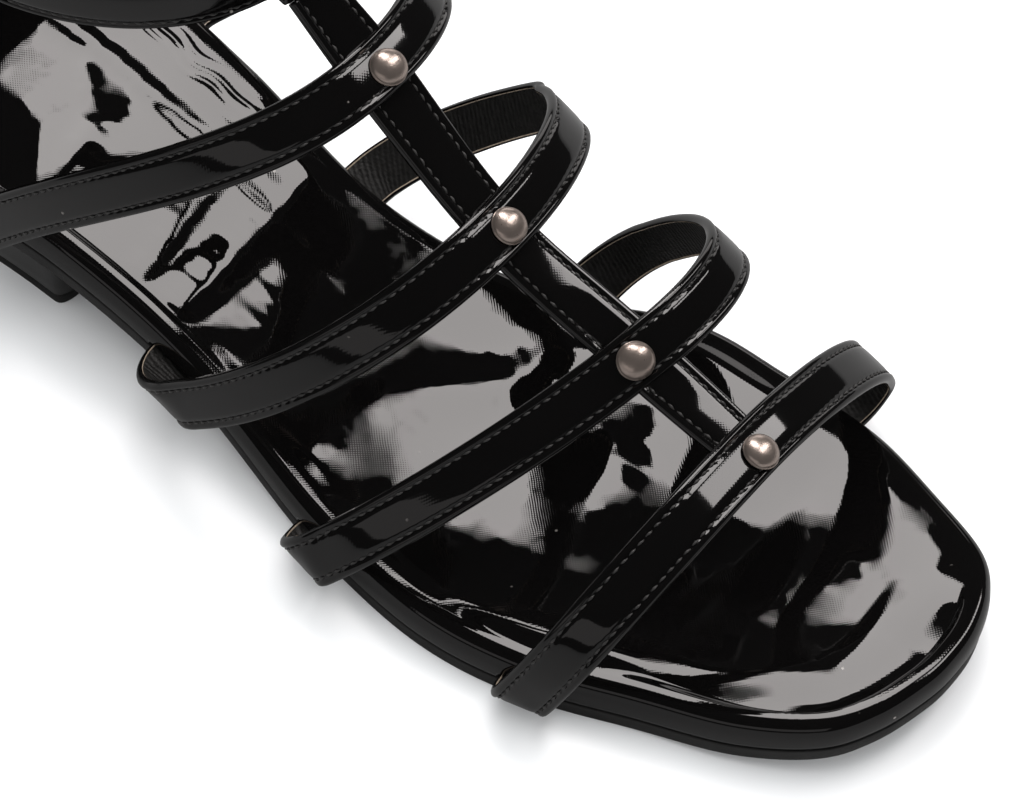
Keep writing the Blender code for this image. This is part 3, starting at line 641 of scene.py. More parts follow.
def sole_under(station):
    """Height of the outsole's underside above the floor."""
    station = np.asarray(station, float)
    toe = TOE_SPRING * np.maximum(0.0, (station - BALL_FRONT) / (1 - BALL_FRONT)) ** 1.8
    heel = HEEL_HEIGHT * smooth((BALL_BACK - station) / (BALL_BACK - SEAT_FRONT))
    return toe + heel


def seam(station):
    """Height of the outsole's top."""
    return sole_under(station) + OUTSOLE_THICK


def sole_stations(fine):
    """Stations from heel to toe, close at both ends, with fine steps between the coarse ones."""
    heel = [0.12 * (1 - math.cos(math.radians(a))) for a in (0, 14, 28, 42, 56, 72, 90)]
    body = list(np.linspace(0.12, 0.86, 30)[1:])
    tip = [0.86 + 0.14 * math.sin(math.radians(a)) for a in (11, 22, 32, 42, 51, 60, 68, 75, 81, 86, 90)]
    coarse = heel + body + tip
    steps = np.linspace(0, len(coarse) - 1, (len(coarse) - 1) * fine + 1)
    return np.interp(steps, range(len(coarse)), coarse)


class Plan:
    """Points of the sole's plan, once round: the edge and the middle line that each faces."""

    def __init__(self, stations, narrow=None):
        narrow = np.ones(len(stations)) if narrow is None else narrow
        reach = 0.30 * BALL_WIDTH / LENGTH
        inner = np.clip(stations, stations[0] + reach, stations[-1] - reach)
        middle = 0.5 * (edge_y(inner, -1) + edge_y(inner, 1))
        local = 0.5 * (edge_y(stations, -1) + edge_y(stations, 1))
        edges, spines = [], []
        for side in (-1, 1):
            edge = np.stack([at(stations), local + (edge_y(stations, side) - local) * narrow], 1)
            spine = np.stack([at(inner), middle], 1)
            keep = slice(None) if side < 0 else slice(-2, 0, -1)
            edges.append(edge[keep])
            spines.append(spine[keep])
        self.edge = np.vstack(edges)
        self.spine = np.vstack(spines)
        self.run = np.linalg.norm(self.spine - self.edge, axis=1)
        self.inward = (self.spine - self.edge) / self.run[:, None]

    def ring(self, inset, way=0.0):
        """Plan points moved in by a length, then by a share of what is left to the middle."""
        depth = inset + way * (self.run - inset)
        return self.edge + self.inward * depth[:, None], depth


def counter_room(station):
    """How far the insole stands back from the edge so that the counter passes beside it."""
    return (COUNTER_WALL + GAP) * smooth((COUNTER_FRONT + COUNTER_FADE - station) / COUNTER_FADE)


def share_of(x):
    return x / LENGTH + ORIGIN_AT


def edge_distance(x, y):
    """Distance of plan points from the sole's outline."""
    rim = np.vstack([EDGE[-1], EDGE[1]]) - np.array([ORIGIN_AT * LENGTH, 0.0])
    gap = (x[:, None] - rim[:, 0]) ** 2 + (y[:, None] - rim[:, 1]) ** 2
    return np.sqrt(gap.min(axis=1))


def hollow(x, y, deep):
    """How far the dished top lies below the rim; deep is the distance from the edge."""
    stations, starts, flanks = np.array(HOLLOW).T
    station = share_of(x)
    inner = smooth(y / (10 * MM) + 0.5)
    start = np.interp(station, stations, starts) * (1 - inner) + INNER_FLANK[0] * inner
    flank = np.interp(station, stations, flanks) * (1 - inner) + INNER_FLANK[1] * inner
    roll = TOE_ROLL
    fore = smooth((station - roll["first"]) / (roll["last"] - roll["first"]))
    reach = roll["reach"] + (roll["tip_reach"] - roll["reach"]) * smooth((station - 0.86) / 0.08)
    outer = 1 - smooth((y / MM - roll["fade"]) / (roll["gone"] - roll["fade"]))
    down = roll["depth"] * MM * fore * outer * (1 - smooth((deep / MM - 3.0) / reach))
    return INSOLE_DISH * smooth((deep / MM - start) / flank) + down


def creases(x, y):
    """Height of the insole's troughs and ridges."""
    found = np.zeros_like(x)
    for i, (station, offset, turn, half_length, half_width, rise) in enumerate(CREASES):
        dx, dy = (x - at(station)) / MM, (y - offset * BALL_WIDTH) / MM
        c, s = math.cos(math.radians(turn)), math.sin(math.radians(turn))
        along, across = dx * c + dy * s, dy * c - dx * s
        across = across + 0.12 * half_width * np.sin(along / 4.0 + 1.7 * i)
        across = across + 0.12 * np.sin(1.1 * along + i) + 0.05 * np.sin(2.3 * along + 2 * i)
        found += rise * MM * np.exp(-(along / half_length) ** 2 - (across / half_width) ** 2)
    return found


def ripples(x, y, deep):
    """Fine ripples that run along the rim."""
    found = np.zeros_like(x)
    station, deep = share_of(x), deep / MM
    for first, last, side, near, far, pitch, rise in RIPPLES:
        middle, reach = 0.5 * (first + last), 0.5 * (last - first)
        window = smooth(1.6 * (1 - np.abs(station - middle) / reach)) * (side * y > 0)
        window = window * smooth((deep - near) / 1.5 + 0.5) * smooth((far - deep) / 4.0)
        phase = math.pi * deep / pitch + 1.0 * np.sin(station * 61.0) + 0.6 * np.sin(station * 147.0)
        uneven = 0.65 + 0.35 * np.sin(station * 97.0 + deep)
        found += rise * MM * window * uneven * np.sin(phase) ** 6
    return found


def tail_room(point_x, point_y, depth, z):
    """Heights of the insole's lower edge, lifted over the strap ends that turn in under it."""
    lifted = z.copy()
    for strap in LEGS:
        for side in (-1, 1):
            base, along, inward, up = base_frame(strap, side)
            dx, dy = point_x - base[0], point_y - base[1]
            beside = np.abs(dx * along[0] + dy * along[1])
            inside = dx * inward[0] + dy * inward[1]
            near = (beside < STRAP_WIDTH / 2 + GAP) & (inside < TAIL + GAP) & (inside > -0.004)
            roof = seam(share_of(point_x)) + 2 * TAIL_LIFT + STRAP_THICK
            lifted = np.where(near, np.maximum(lifted, roof), lifted)
    return lifted


def make_insole(patent):
    stations = sole_stations(10)
    plan = Plan(stations)
    room = counter_room(share_of(plan.edge[:, 0]))
    edge = through(INSOLE_EDGE, 5)
    rows = []
    bottom = ((1.0, 0.0), (0.5, 0.0), (0.0, TAIL + 0.0012), (0.0, TAIL - 0.0004), (0.0, 0.5 * TAIL))
    for way, inset in bottom:
        rows.append((room + inset, way, 0.0, False))
    for inset, height in edge:
        rows.append((room + inset * INSOLE_RIM, 0.0, height, False))
    for way in np.linspace(0, 1, 51)[1:]:
        rows.append((room + INSOLE_RIM, way**1.3, 1.0, True))
    loops = []
    for inset, way, height, top in rows:
        spot, depth = plan.ring(inset, way)
        x, y = spot[:, 0], spot[:, 1]
        z = seam(share_of(x)) + GAP + height * INSOLE_THICK
        if top:
            deep = np.maximum(edge_distance(x, y) - room, INSOLE_RIM)
            fade = smooth((deep - INSOLE_RIM) / (4 * MM))
            z += (creases(x, y) + ripples(x, y, deep)) * fade
            z -= hollow(x, y, deep) * smooth((deep - INSOLE_RIM) / (1.5 * MM))
        else:
            z = tail_room(x, y, depth, z)
        loops.append(np.stack([x, y, z], 1))
    piece = skin("footbed", loops, [patent])
    return place(piece, "insole_patent", "insole")


def make_outsole(finish):
    plan = Plan(sole_stations(6))
    side = OUTSOLE_INSET
    round_edge = 0.0005
    rows = [(side, 1.0, 0.0), (side + 0.004, 0.0, 0.0), (side + round_edge, 0.0, 0.0)]
    for a in (30, 60, 90):
        turn = math.radians(a)
        rows.append((side + round_edge * (1 - math.sin(turn)), 0.0, 0.12 * (1 - math.cos(turn))))
    rows += [(side, 0.0, 0.5), (side, 0.0, 0.86), (side + 0.0001, 0.0, 0.94)]
    rows += [(side + 0.0003, 0.0, 1.0), (side + 0.004, 0.0, 1.0), (side, 1.0, 1.0)]
    loops = []
    for inset, way, height in rows:
        spot, _ = plan.ring(np.full(len(plan.run), inset), way)
        z = sole_under(share_of(spot[:, 0])) + height * OUTSOLE_THICK
        loops.append(np.column_stack([spot, z]))
    piece = skin("sole_plate", loops, [finish])
    return place(piece, "outsole", "outsole")


def heel_plan():
    """The heel's plan: the sole's outline, closed by a breast with rounded corners."""
    corner = BREAST_AT - 0.02
    stations = sole_stations(4)
    stations = list(stations[stations < corner - 0.001]) + [corner]
    narrow = [1.0] * len(stations)
    for a in range(6, 91, 6):
        turn = math.radians(a)
        stations.append(corner + 0.02 * math.sqrt(math.sin(turn)))
        narrow.append(math.sqrt(max(0.0, math.cos(turn))))
    return Plan(np.array(stations), np.array(narrow))


def make_heel(cover, rubber):
    plan = heel_plan()
    floor = TOP_PIECE_THICK + GAP
    taper = np.array([0.92, 0.55, 0.2, 0.0])
    shares = np.array([0.0, 0.35, 0.75, 1.0])
    height = np.linspace(0, 1, 14)
    rows = [(HEEL_INSET + taper[0] * HEEL_TAPER, 1.0, 0.0)]
    rows += [(HEEL_INSET + np.interp(h, shares, taper) * HEEL_TAPER, 0.0, h) for h in height]
    rows += [(HEEL_INSET, 1.0, 1.0)]
    loops = []
    for inset, way, h in rows:
        spot, _ = plan.ring(np.full(len(plan.run), inset), way)
        z = floor + h * (sole_under(share_of(spot[:, 0])) - GAP - floor)
        loops.append(np.column_stack([spot, z]))
    block = place(skin("heel_cover", loops, [cover]), "heel_cover", "heel_block")
    low = HEEL_INSET + HEEL_TAPER
    soft = 0.0003
    rows = ((low, 1, 0.0), (low + soft, 0, 0.0), (low + 0.3 * soft, 0, 0.04), (low, 0, 0.14),
            (low, 0, 0.86), (low + 0.3 * soft, 0, 0.96), (low + soft, 0, 1.0), (low, 1, 1.0))
    loops = []
    for inset, way, h in rows:
        spot, _ = plan.ring(np.full(len(plan.run), inset), way)
        loops.append(np.column_stack([spot, np.full(len(spot), h * TOP_PIECE_THICK)]))
    piece = place(skin("heel_wear_layer", loops, [rubber]), "outsole", "heel_top_piece")
    return block, piece


# Straps


def base_frame(strap, side):
    """Where a strap leaves the sole: the point on the edge, along it, inwards and up."""
    station = LEGS[strap][0 if side < 0 else 1][0]
    step = 0.004

    def rim(s):
        return np.array([at(s), float(edge_y(s, side)), float(seam(s))])

    along = unit(rim(station + step) - rim(station - step))
    flat = np.array([-along[1], along[0], 0.0]) * -side
    slope = (sole_under(station + step) - sole_under(station - step)) / (2 * step * LENGTH)
    inward = unit(flat + np.array([0.0, 0.0, slope * flat[0]]))
    up = np.cross(along, inward)
    up = up if up[2] > 0 else -up
    return rim(station) + up * (TAIL_LIFT + STRAP_THICK / 2), along, inward, up


def leg_points(strap, side):
    """Middle line of one leg, from its tail under the insole to the crown."""
    row = CROWNS[strap]
    _, out, lift, full, lean, _ = LEGS[strap][0 if side < 0 else 1]
    crown = np.array([at(row["at"]), row["across"] * BALL_WIDTH, row["rise"] * INSTEP_HEIGHT])
    base, _, inward, _ = base_frame(strap, side)
    swing = base[1] + side * out * BALL_WIDTH
    lift = lift * INSTEP_HEIGHT
    rise = crown[2] - base[2]

    def leaned(y, z):
        return base[0] + (crown[0] - base[0]) * (max(z - base[2], 0.0) / rise) ** lean, y, z

    tail = [base + inward * TAIL, base + inward * 0.5 * TAIL]
    turn = []
    for a in np.radians((0, 18, 36, 54, 72)):
        turn.append(leaned(base[1] + (swing - base[1]) * math.sin(a),
                           base[2] + lift * (1 - math.cos(a))))
    arch = []
    for a in np.radians(np.linspace(0, 90, 46)):
        y = crown[1] + (swing - crown[1]) * abs(math.cos(a)) ** (2 / full)
        z = base[2] + lift + (rise - lift) * math.sin(a) ** (2 / full)
        arch.append(leaned(y, z))
    return np.array(tail), np.array(turn), np.array(arch)


def strap_stations(strap):
    """Stations of a whole cross strap, outer tail to inner tail."""
    outer, inner = leg_points(strap, -1), leg_points(strap, 1)
    arch = spaced(np.vstack([outer[2], inner[2][-2::-1]]), 33)
    for _ in range(3):
        arch[1:-1] = 0.25 * arch[:-2] + 0.5 * arch[1:-1] + 0.25 * arch[2:]
    path = np.vstack([outer[0], outer[1], arch, inner[1][::-1], inner[0][::-1]])
    heading = np.gradient(path, axis=0)
    crown = CROWNS[strap]
    peak = int(np.argmax(path[:, 2]))
    stations = []
    for i, point in enumerate(path):
        side = -1 if i < peak else 1
        base, along, _, _ = base_frame(strap, side)
        twist = LEGS[strap][0 if side < 0 else 1][5]
        share = min(max((point[2] - base[2]) / (path[peak][2] - base[2]), 0.0), 1.0)
        yaw = math.atan2(along[1], along[0]) * (1 - share)
        free = min(share / 0.15, 1.0)
        lying = math.asin(-along[2])
        leaning = math.radians(twist * (1 - share) + crown["slope"] * share)
        pitch = lying * (1 - free) + leaning * free
        across = np.array([math.cos(pitch) * math.cos(yaw), math.cos(pitch) * math.sin(yaw),
                           -math.sin(pitch)])
        run = unit(heading[i])
        across = unit(across - np.dot(across, run) * run)
        face = np.cross(across, run)
        stations.append((point, across, face, STRAP_WIDTH, STRAP_THICK))
    return stations


def crossing(strap, what):
    """Point, across, face and run of a cross strap where its stud or the centre strap is."""
    stations = strap_stations(strap)
    wanted = CROWNS[strap][what] * BALL_WIDTH
    heights = [s[0][1] for s in stations]
    i = next(k for k in range(len(stations) // 4, len(stations)) if heights[k] > wanted)
    a, b = stations[i - 1], stations[i]
    t = (wanted - a[0][1]) / (b[0][1] - a[0][1])
    point, across, face = (a[k] * (1 - t) + b[k] * t for k in range(3))
    return point, unit(across), unit(face), unit(b[0] - a[0])


def centre_stations():
    """Stations of the centre strap, from under the toe strap up to the ankle strap's loop."""
    drop = STRAP_THICK - STRAP_SINK
    knots, runs, wide = [], [], []
    for strap in ("toe", "ball", "instep", "top"):
        point, _, face, run = crossing(strap, "centre")
        knots.append(point - face * drop)
        runs.append(run)
        wide.append(CROWNS[strap]["wide"] * STRAP_WIDTH)
    ahead = unit(knots[0] - knots[1])
    knots.insert(0, knots[0] + ahead * 0.42 * STRAP_WIDTH)
    runs.insert(0, runs[0])
    wide.insert(0, wide[0])
    point, _, face, _ = ankle_frame(0.0)
    low = STRAP_WIDTH / 2 + LOOP_CLEAR + LOOP_WALL / 2
    seat = STRAP_THICK / 2 + LOOP_CLEAR + LOOP_WALL / 2
    knots.append(point + face * seat - np.array([0.0, 0.0, low]))
    runs.append(np.array([0.0, 1.0, 0.0]))
    wide.append(LOOP_LENGTH)
    path = through(knots, 5)
    sides = through(runs, 5)
    widths = np.interp(np.arange(len(path)) / 5, range(len(wide)), wide)
    heading = np.gradient(path, axis=0)
    stations = []
    for point, side, run, width in zip(path, sides, heading, widths):
        run = unit(run)
        across = unit(side - np.dot(side, run) * run)
        face = np.cross(across, run)
        face = face if face[2] > 0 else -face
        stations.append((point, across, face, width, STRAP_THICK))
    return stations


def refined(stations, steps):
    """The stations of a strap with smooth steps between them, as arrays."""
    point, across, face = (through([s[k] for s in stations], steps) for k in range(3))
    width, thick = (np.interp(np.arange(len(point)) / steps, range(len(stations)),
                              [s[k] for s in stations]) for k in (3, 4))
    run = unit(np.gradient(point, axis=0))
    across = unit(across - np.sum(across * run, 1, keepdims=True) * run)
    flipped = np.sum(np.cross(across, run) * face, 1, keepdims=True) < 0
    face = np.where(flipped, -1, 1) * np.cross(across, run)
    return point, across, face, width, thick


def strap_section():
    """The whole section: way across, side, rise in metres and finish, once round."""
    half = list(STRAP_SECTION)
    ring = [(way, side, rise * MM, kind) for way, side, rise, kind in half]
    back = [(-way, side, rise * MM, half[i - 1][3]) for i, (way, side, rise, kind) in
            reversed(list(enumerate(half))) if 0 < way]
    return ring + back


STRAP_KINDS = ("patent", "raw", "lining")


def make_strap(name, stations, finishes, caps=False):
    """A stitched strap: raised middle, grooves, rolled borders and a lining inside."""
    point, across, face, width, thick = refined(stations, 8)
    along = run_length(point)
    section = strap_section()
    pinch = 0.12 * MM * np.abs(np.cos(math.pi * along / STITCH_PITCH)) ** 4
    grid = []
    for way, side, rise, _ in section:
        level = side * thick / 2 + rise
        if side > 0 and 0.6 < abs(way) < 0.74:
            level = level - pinch
        grid.append(point + across * (way * width / 2)[:, None] + face * level[:, None])
    grid = np.stack(grid, 1)
    around = np.r_[0, np.cumsum([abs(b[0] - a[0]) * STRAP_WIDTH / 2 + abs(b[2] - a[2])
                                 for a, b in zip(section, section[1:] + section[:1])])]
    kinds = [STRAP_KINDS.index(row[3]) for row in section]
    strap = skin(name, grid, finishes, by_column=kinds, caps=caps, uv=(along, around))
    stitches(f"{name}_stitches", point, across, face, width, thick, along, finishes[-1])
    return strap


def stitches(name, point, across, face, width, thick, along, thread):
    """Two rows of thread stitches that lie in the grooves of a strap."""
    centres = np.arange(1.5 * STITCH_PITCH, along[-1] - STITCH_PITCH, STITCH_PITCH)
    ends = np.array([0.0, 0.35, 0.5, 0.65, 1.0])
    swell = np.array([0.35, 0.9, 1.0, 0.9, 0.35])
    sink = np.array([0.22, 0.03, 0.0, 0.03, 0.22]) * MM
    ring = np.radians(np.arange(0, 360, 60))
    points, faces = [], []

    def read(values, where):
        if values.ndim == 1:
            return np.interp(where, along, values)
        return np.array([np.interp(where, along, values[:, k]) for k in range(3)])

    for side in (-1, 1):
        for centre in centres:
            slant = RNG.normal(0.0, 0.05) * MM + 0.06 * MM
            start = len(points)
            for end, fat, deep in zip(ends, swell, sink):
                where = centre + (end - 0.5) * STITCH_LENGTH
                spot, a, f = read(point, where), read(across, where), read(face, where)
                way = side * (STITCH_WAY * read(width, where) / 2) + slant * (end - 0.5) * 2
                level = read(thick, where) / 2 - 0.16 * MM - deep
                middle = spot + a * way + f * level
                for turn in ring:
                    offset = a * math.cos(turn) * 1.15 + f * math.sin(turn)
                    points.append(middle + offset * STITCH_RADIUS * fat)
            for r in range(len(ends) - 1):
                for c in range(6):
                    a, b = start + 6 * r + c, start + 6 * r + (c + 1) % 6
                    faces.append((a, b, b + 6, a + 6))
            faces.append(tuple(start + c for c in range(6))[::-1])
            faces.append(tuple(start + 24 + c for c in range(6)))
    mesh = bpy.data.meshes.new(name)
    mesh.from_pydata([tuple(p) for p in points], [], faces)
    work = bmesh.new()
    work.from_mesh(mesh)
    bmesh.ops.recalc_face_normals(work, faces=work.faces)
    work.to_mesh(mesh)
    work.free()
    mesh.shade_smooth()
    mesh.materials.append(thread_finish())
    piece = bpy.data.objects.new(name, mesh)
    bpy.context.scene.collection.objects.link(piece)
    return place(piece, "strap_patent")


FINISHES = {}


def thread_finish():
    if "thread" not in FINISHES:
        FINISHES["thread"] = thread_material()
    return FINISHES["thread"]


# Studs


def stud_place(strap):
    point, across, face, run = crossing(strap, "stud")
    return point + across * CROWNS[strap]["ahead"] * STRAP_WIDTH, across, face, run


def stud_profile():
    """Radius and height pairs of the rivet, from its tail plate to the top of its dome."""
    dome = STUD_DIAMETER / 2
    top = STRAP_THICK / 2 + GAP
    tail = STRAP_THICK / 2 + STRAP_THICK - STRAP_SINK + 2 * GAP
    plate = 0.9 * STUD_SHANK
    soft = 0.00012
    profile = [(0.0, -tail - STUD_PLATE), (plate - soft, -tail - STUD_PLATE),
               (plate, -tail - STUD_PLATE + soft), (plate, -tail - soft), (plate - soft, -tail),
               (STUD_SHANK / 2, -tail), (STUD_SHANK / 2, top), (0.92 * dome, top),
               (0.97 * dome, top - 0.0001), (dome, top + 0.0001), (dome, top + 0.6 * STUD_RIM),
               (0.985 * dome, top + 0.95 * STUD_RIM), (0.965 * dome, top + STUD_RIM)]
    for a in np.linspace(4, 90, 22):
        turn = math.radians(a)
        rise = STUD_RISE - STUD_RIM
        profile.append((0.96 * dome * math.cos(turn), top + STUD_RIM + rise * math.sin(turn)))
    return profile


def make_studs(metal):
    turns = np.radians(np.arange(0, 360, 7.5))
    profile = stud_profile()
    for number, strap in enumerate(LEGS, 1):
        point, across, face, run = stud_place(strap)
        rows = [[point + (across * math.cos(a) + run * math.sin(a)) * r + face * z for a in turns]
                for r, z in profile]
        place(skin(f"dome_stud_{number}", rows, [metal]), "metal", f"stud_{number}")


# Ankle strap, buckle and counter


def ankle_frame(angle, offset=0.0):
    """Point, across, face and run of the ankle strap; the angle is 0 at the front."""
    turn = math.radians(angle)
    a, b = ANKLE_LENGTH / 2, ANKLE_WIDTH / 2
    face = unit(np.array([b * math.cos(turn), a * math.sin(turn), 0.0]))
    point = np.array([at(ANKLE_AT) + a * math.cos(turn), b * math.sin(turn),
                      INSTEP_HEIGHT + ANKLE_RISE + ANKLE_TILT * math.cos(turn)])
    tangent = unit(np.array([a * math.sin(turn), -b * math.cos(turn), ANKLE_TILT * math.sin(turn)]))
    across = unit(np.cross(tangent, face))
    across = across if across[2] > 0 else -across
    return point + face * offset, across, face, tangent


def along_ankle(angle, length):
    """The angle that lies a length further round the ankle, in the strap's direction."""
    step = 1.0 if length > 0 else -1.0
    gone = 0.0
    while gone < abs(length):
        here, there = ankle_frame(angle)[0], ankle_frame(angle - step)[0]
        gone += np.linalg.norm(there - here)
        angle -= step
    return angle


PRONG_RING = BUCKLE_WIRE / 2 + GAP + PRONG_WIRE / 2
OVER_EYE = PRONG_RING + PRONG_WIRE / 2 + GAP + STRAP_THICK / 2
OVER_STRAP = STRAP_THICK + 1.5 * GAP
BAR_OFFSET = STRAP_THICK / 2 + GAP + BUCKLE_WIRE / 2


def ankle_stations():
    """The strap from its eye at the buckle, once round and on over its own start."""
    bar = along_ankle(BUCKLE_ANGLE, -BUCKLE_REACH)
    end = along_ankle(BUCKLE_ANGLE, ANKLE_OVERLAP)
    round_angles = np.linspace(BUCKLE_ANGLE, bar - 360, 50)
    over_angles = np.linspace(bar - 360, end - 360, 16)[1:]
    stations = []
    for angle in round_angles:
        point, across, face, _ = ankle_frame(angle)
        stations.append((point, across, face, STRAP_WIDTH, STRAP_THICK))
    tip = end - 360
    for angle in over_angles:
        eye = BUCKLE_ANGLE - 360
        if angle > eye:
            offset = OVER_EYE * smooth((bar - 360 - angle) / (bar - 360 - eye))
        else:
            fall = smooth((eye - angle) / (0.45 * (eye - tip)))
            offset = OVER_EYE + (OVER_STRAP - OVER_EYE) * fall
        point, across, face, _ = ankle_frame(angle, offset)
        left = min((angle - tip) / 9.0, 1.0)
        width = STRAP_WIDTH * (0.35 + 0.65 * math.sqrt(max(left, 0.0)))
        stations.append((point, across, face, width, STRAP_THICK))
    return stations


def make_wire(name, path, radius, finish, closed=False, sides=16):
    """A round wire along a path that lies in or near one plane, with rounded ends."""
    path = np.asarray(path, float)
    count = len(path)
    normal = unit(np.linalg.svd(path - path.mean(axis=0))[2][2])
    turns = np.linspace(0, 2 * math.pi, sides + 1)[:-1]
    loops = []
    for i in range(count):
        if closed:
            run = unit(path[(i + 1) % count] - path[i - 1])
        else:
            run = unit(path[min(i + 1, count - 1)] - path[max(i - 1, 0)])
        side = unit(np.cross(normal, run))
        up = np.cross(run, side)
        size = radius if closed or 0 < i < count - 1 else 0.7 * radius
        loops.append([path[i] + (side * math.cos(a) + up * math.sin(a)) * size for a in turns])
    return skin(name, loops, [finish], caps=not closed, closed=closed)


def prong_path():
    """Middle line of the prong: most of a ring round the bar, then out over the front bar."""
    point, _, face, run = ankle_frame(BUCKLE_ANGLE)
    front = along_ankle(BUCKLE_ANGLE, -BUCKLE_REACH)
    rest = BAR_OFFSET + BUCKLE_WIRE / 2 + GAP + PRONG_WIRE / 2
    over, _, over_face, _ = ankle_frame(front, rest)
    path = []
    for a in np.radians(np.linspace(-110, 90, 9)):
        path.append(point + (-run * -math.cos(a) + face * math.sin(a)) * PRONG_RING)
    start = path[-1]
    for t in (0.3, 0.6, 0.85, 1.0):
        path.append(start * (1 - t) + over * t)
    path.append(over - run * 1.2 * PRONG_WIRE - over_face * 0.1 * PRONG_WIRE)
    return path


def make_buckle(metal):
    point, across, _, _ = ankle_frame(BUCKLE_ANGLE)
    front = along_ankle(BUCKLE_ANGLE, -BUCKLE_REACH)
    far, _, _, _ = ankle_frame(front, BAR_OFFSET)
    half = STRAP_WIDTH / 2 + BUCKLE_PLAY + BUCKLE_WIRE / 2
    corner = 0.9 * BUCKLE_WIRE
    run = unit(far - point)
    length = np.linalg.norm(far - point)
    path = []
    corners = ((length - corner, half - corner, 0), (corner, half - corner, 90),
               (corner, corner - half, 180), (length - corner, corner - half, 270))
    for x, y, turn in corners:
        for a in np.radians(np.linspace(turn, turn + 90, 9)):
            path.append(point + run * (x + corner * math.cos(a)) + across * (y + corner * math.sin(a)))
    ring = make_wire("buckle_ring", path, BUCKLE_WIRE / 2, metal, closed=True)
    place(ring, "metal", "buckle_frame")
    pin = make_wire("buckle_pin", through(prong_path(), 4), PRONG_WIRE / 2, metal)
    place(pin, "metal", "buckle_prong")


def sleeve_grid(angle, offset, inside, length):
    """Points of a flat loop round the ankle strap, curved with it and rounded at its corners."""
    arc = along_ankle(angle, length / 2) - angle
    half, deep = STRAP_WIDTH / 2 + LOOP_CLEAR, inside / 2 + LOOP_CLEAR

    def rounded(a, b, radius):
        found = []
        for x, y, turn in ((a, b, 0), (-a, b, 90), (-a, -b, 180), (a, -b, 270)):
            for t in np.radians(np.linspace(turn, turn + 90, 7)):
                found.append((x - math.copysign(radius, x) + radius * math.cos(t),
                              y - math.copysign(radius, y) + radius * math.sin(t)))
        return np.array(found)

    inner = rounded(half, deep, 0.3 * LOOP_WALL)
    outer = rounded(half + LOOP_WALL, deep + LOOP_WALL, 0.95 * LOOP_WALL)
    rows = []
    for t in np.linspace(-1, 1, 13):
        rows.append((t, outer - (outer - inner) * (0.12 if abs(t) == 1 else 0.0)))
    for t in np.linspace(1, -1, 13):
        rows.append((t, inner))
    grid = []
    for t, ring in rows:
        point, across, face, _ = ankle_frame(angle + arc * t, offset)
        grid.append([point + across * p + face * q for p, q in ring])
    return grid


def make_counter(finishes):
    """The closed back: a thin wall from the sole's edge up to the loop of the ankle strap."""
    table = np.array(COUNTER_EDGE)
    ways = np.linspace(0, 1, 90)
    levels = np.interp(ways, table[:, 0], table[:, 1])
    for _ in range(3):
        levels[1:-1] = 0.25 * levels[:-2] + 0.5 * levels[1:-1] + 0.25 * levels[2:]
    turns = [(w, h, -1) for w, h in zip(ways, levels)]
    turns += [(w, h, 1) for w, h in zip(ways[-2::-1], levels[-2::-1])]
    high = ankle_frame(180.0)[0][2] - (STRAP_WIDTH / 2 + LOOP_CLEAR + LOOP_WALL / 2)
    columns = []
    for way, level, side in turns:
        station = COUNTER_FRONT * (1 - math.sin(0.5 * math.pi * way))
        plan = np.array([at(station), float(edge_y(station, side))])
        start = float(seam(station)) + GAP
        front = float(seam(station)) + INSOLE_THICK + COUNTER_FRONT_RISE
        stop = front + (high - front) * level
        target = ankle_frame(180.0 + side * -82.0 * (1 - way))[0][:2]
        column = []
        for row in np.linspace(0, 1, 36):
            z = start + (stop - start) * row
            blend = min(max((z - start) / (high - start), 0.0), 1.0)
            bulge = COUNTER_BULGE * math.sin(math.pi * blend) * way
            spot = plan + (target - plan) * smooth(blend) - np.array([bulge, 0.0])
            column.append((spot[0], spot[1], z))
        columns.append(column)
    inside = np.array(columns)
    tangent = np.gradient(inside, axis=0)
    inward = np.stack([tangent[..., 1], -tangent[..., 0], np.zeros(tangent.shape[:2])], axis=-1)
    inward = unit(inward)
    outside = inside - inward * COUNTER_WALL
    crest = inside[:, -1] - inward[:, -1] * COUNTER_WALL / 2 + np.array([0, 0, 0.45 * COUNTER_WALL])
    grid = np.concatenate([inside, crest[:, None], outside[:, ::-1]], axis=1)
    kinds = [2] * (inside.shape[1] - 1) + [0] * (outside.shape[1] + 2)
    counter = skin("closed_back", grid, finishes, by_column=kinds, caps=True)
    place(counter, "strap_patent", "heel_counter")
    loop = skin("closed_back_loop", sleeve_grid(180.0, 0.0, STRAP_THICK, LOOP_LENGTH), [finishes[0]],
                closed=True)
    place(loop, "strap_patent")
    edge = outside[3:-3, -1] - inward[3:-3, -1] * 0.02 * MM
    edge_normal = -inward[3:-3, -1]
    run = unit(np.gradient(edge, axis=0))
    down = unit(np.cross(edge_normal, run))
    down = np.where(down[:, 2:3] > 0, -down, down)
    seam_line = edge + down * 1.7 * MM
    along = run_length(seam_line)
    level = np.zeros(len(along))
    stitches("closed_back_stitches", seam_line, down, edge_normal,
             level, level + 0.36 * MM, along, finishes[-1])


def make_keeper(finish):
    angle = along_ankle(BUCKLE_ANGLE, 0.62 * ANKLE_OVERLAP)
    inside = STRAP_THICK + OVER_STRAP
    grid = sleeve_grid(angle, OVER_STRAP / 2, inside, KEEPER_LENGTH)
    place(skin("keeper_loop", grid, [finish], closed=True), "strap_patent", "strap_keeper")


# Camera, floor and lights


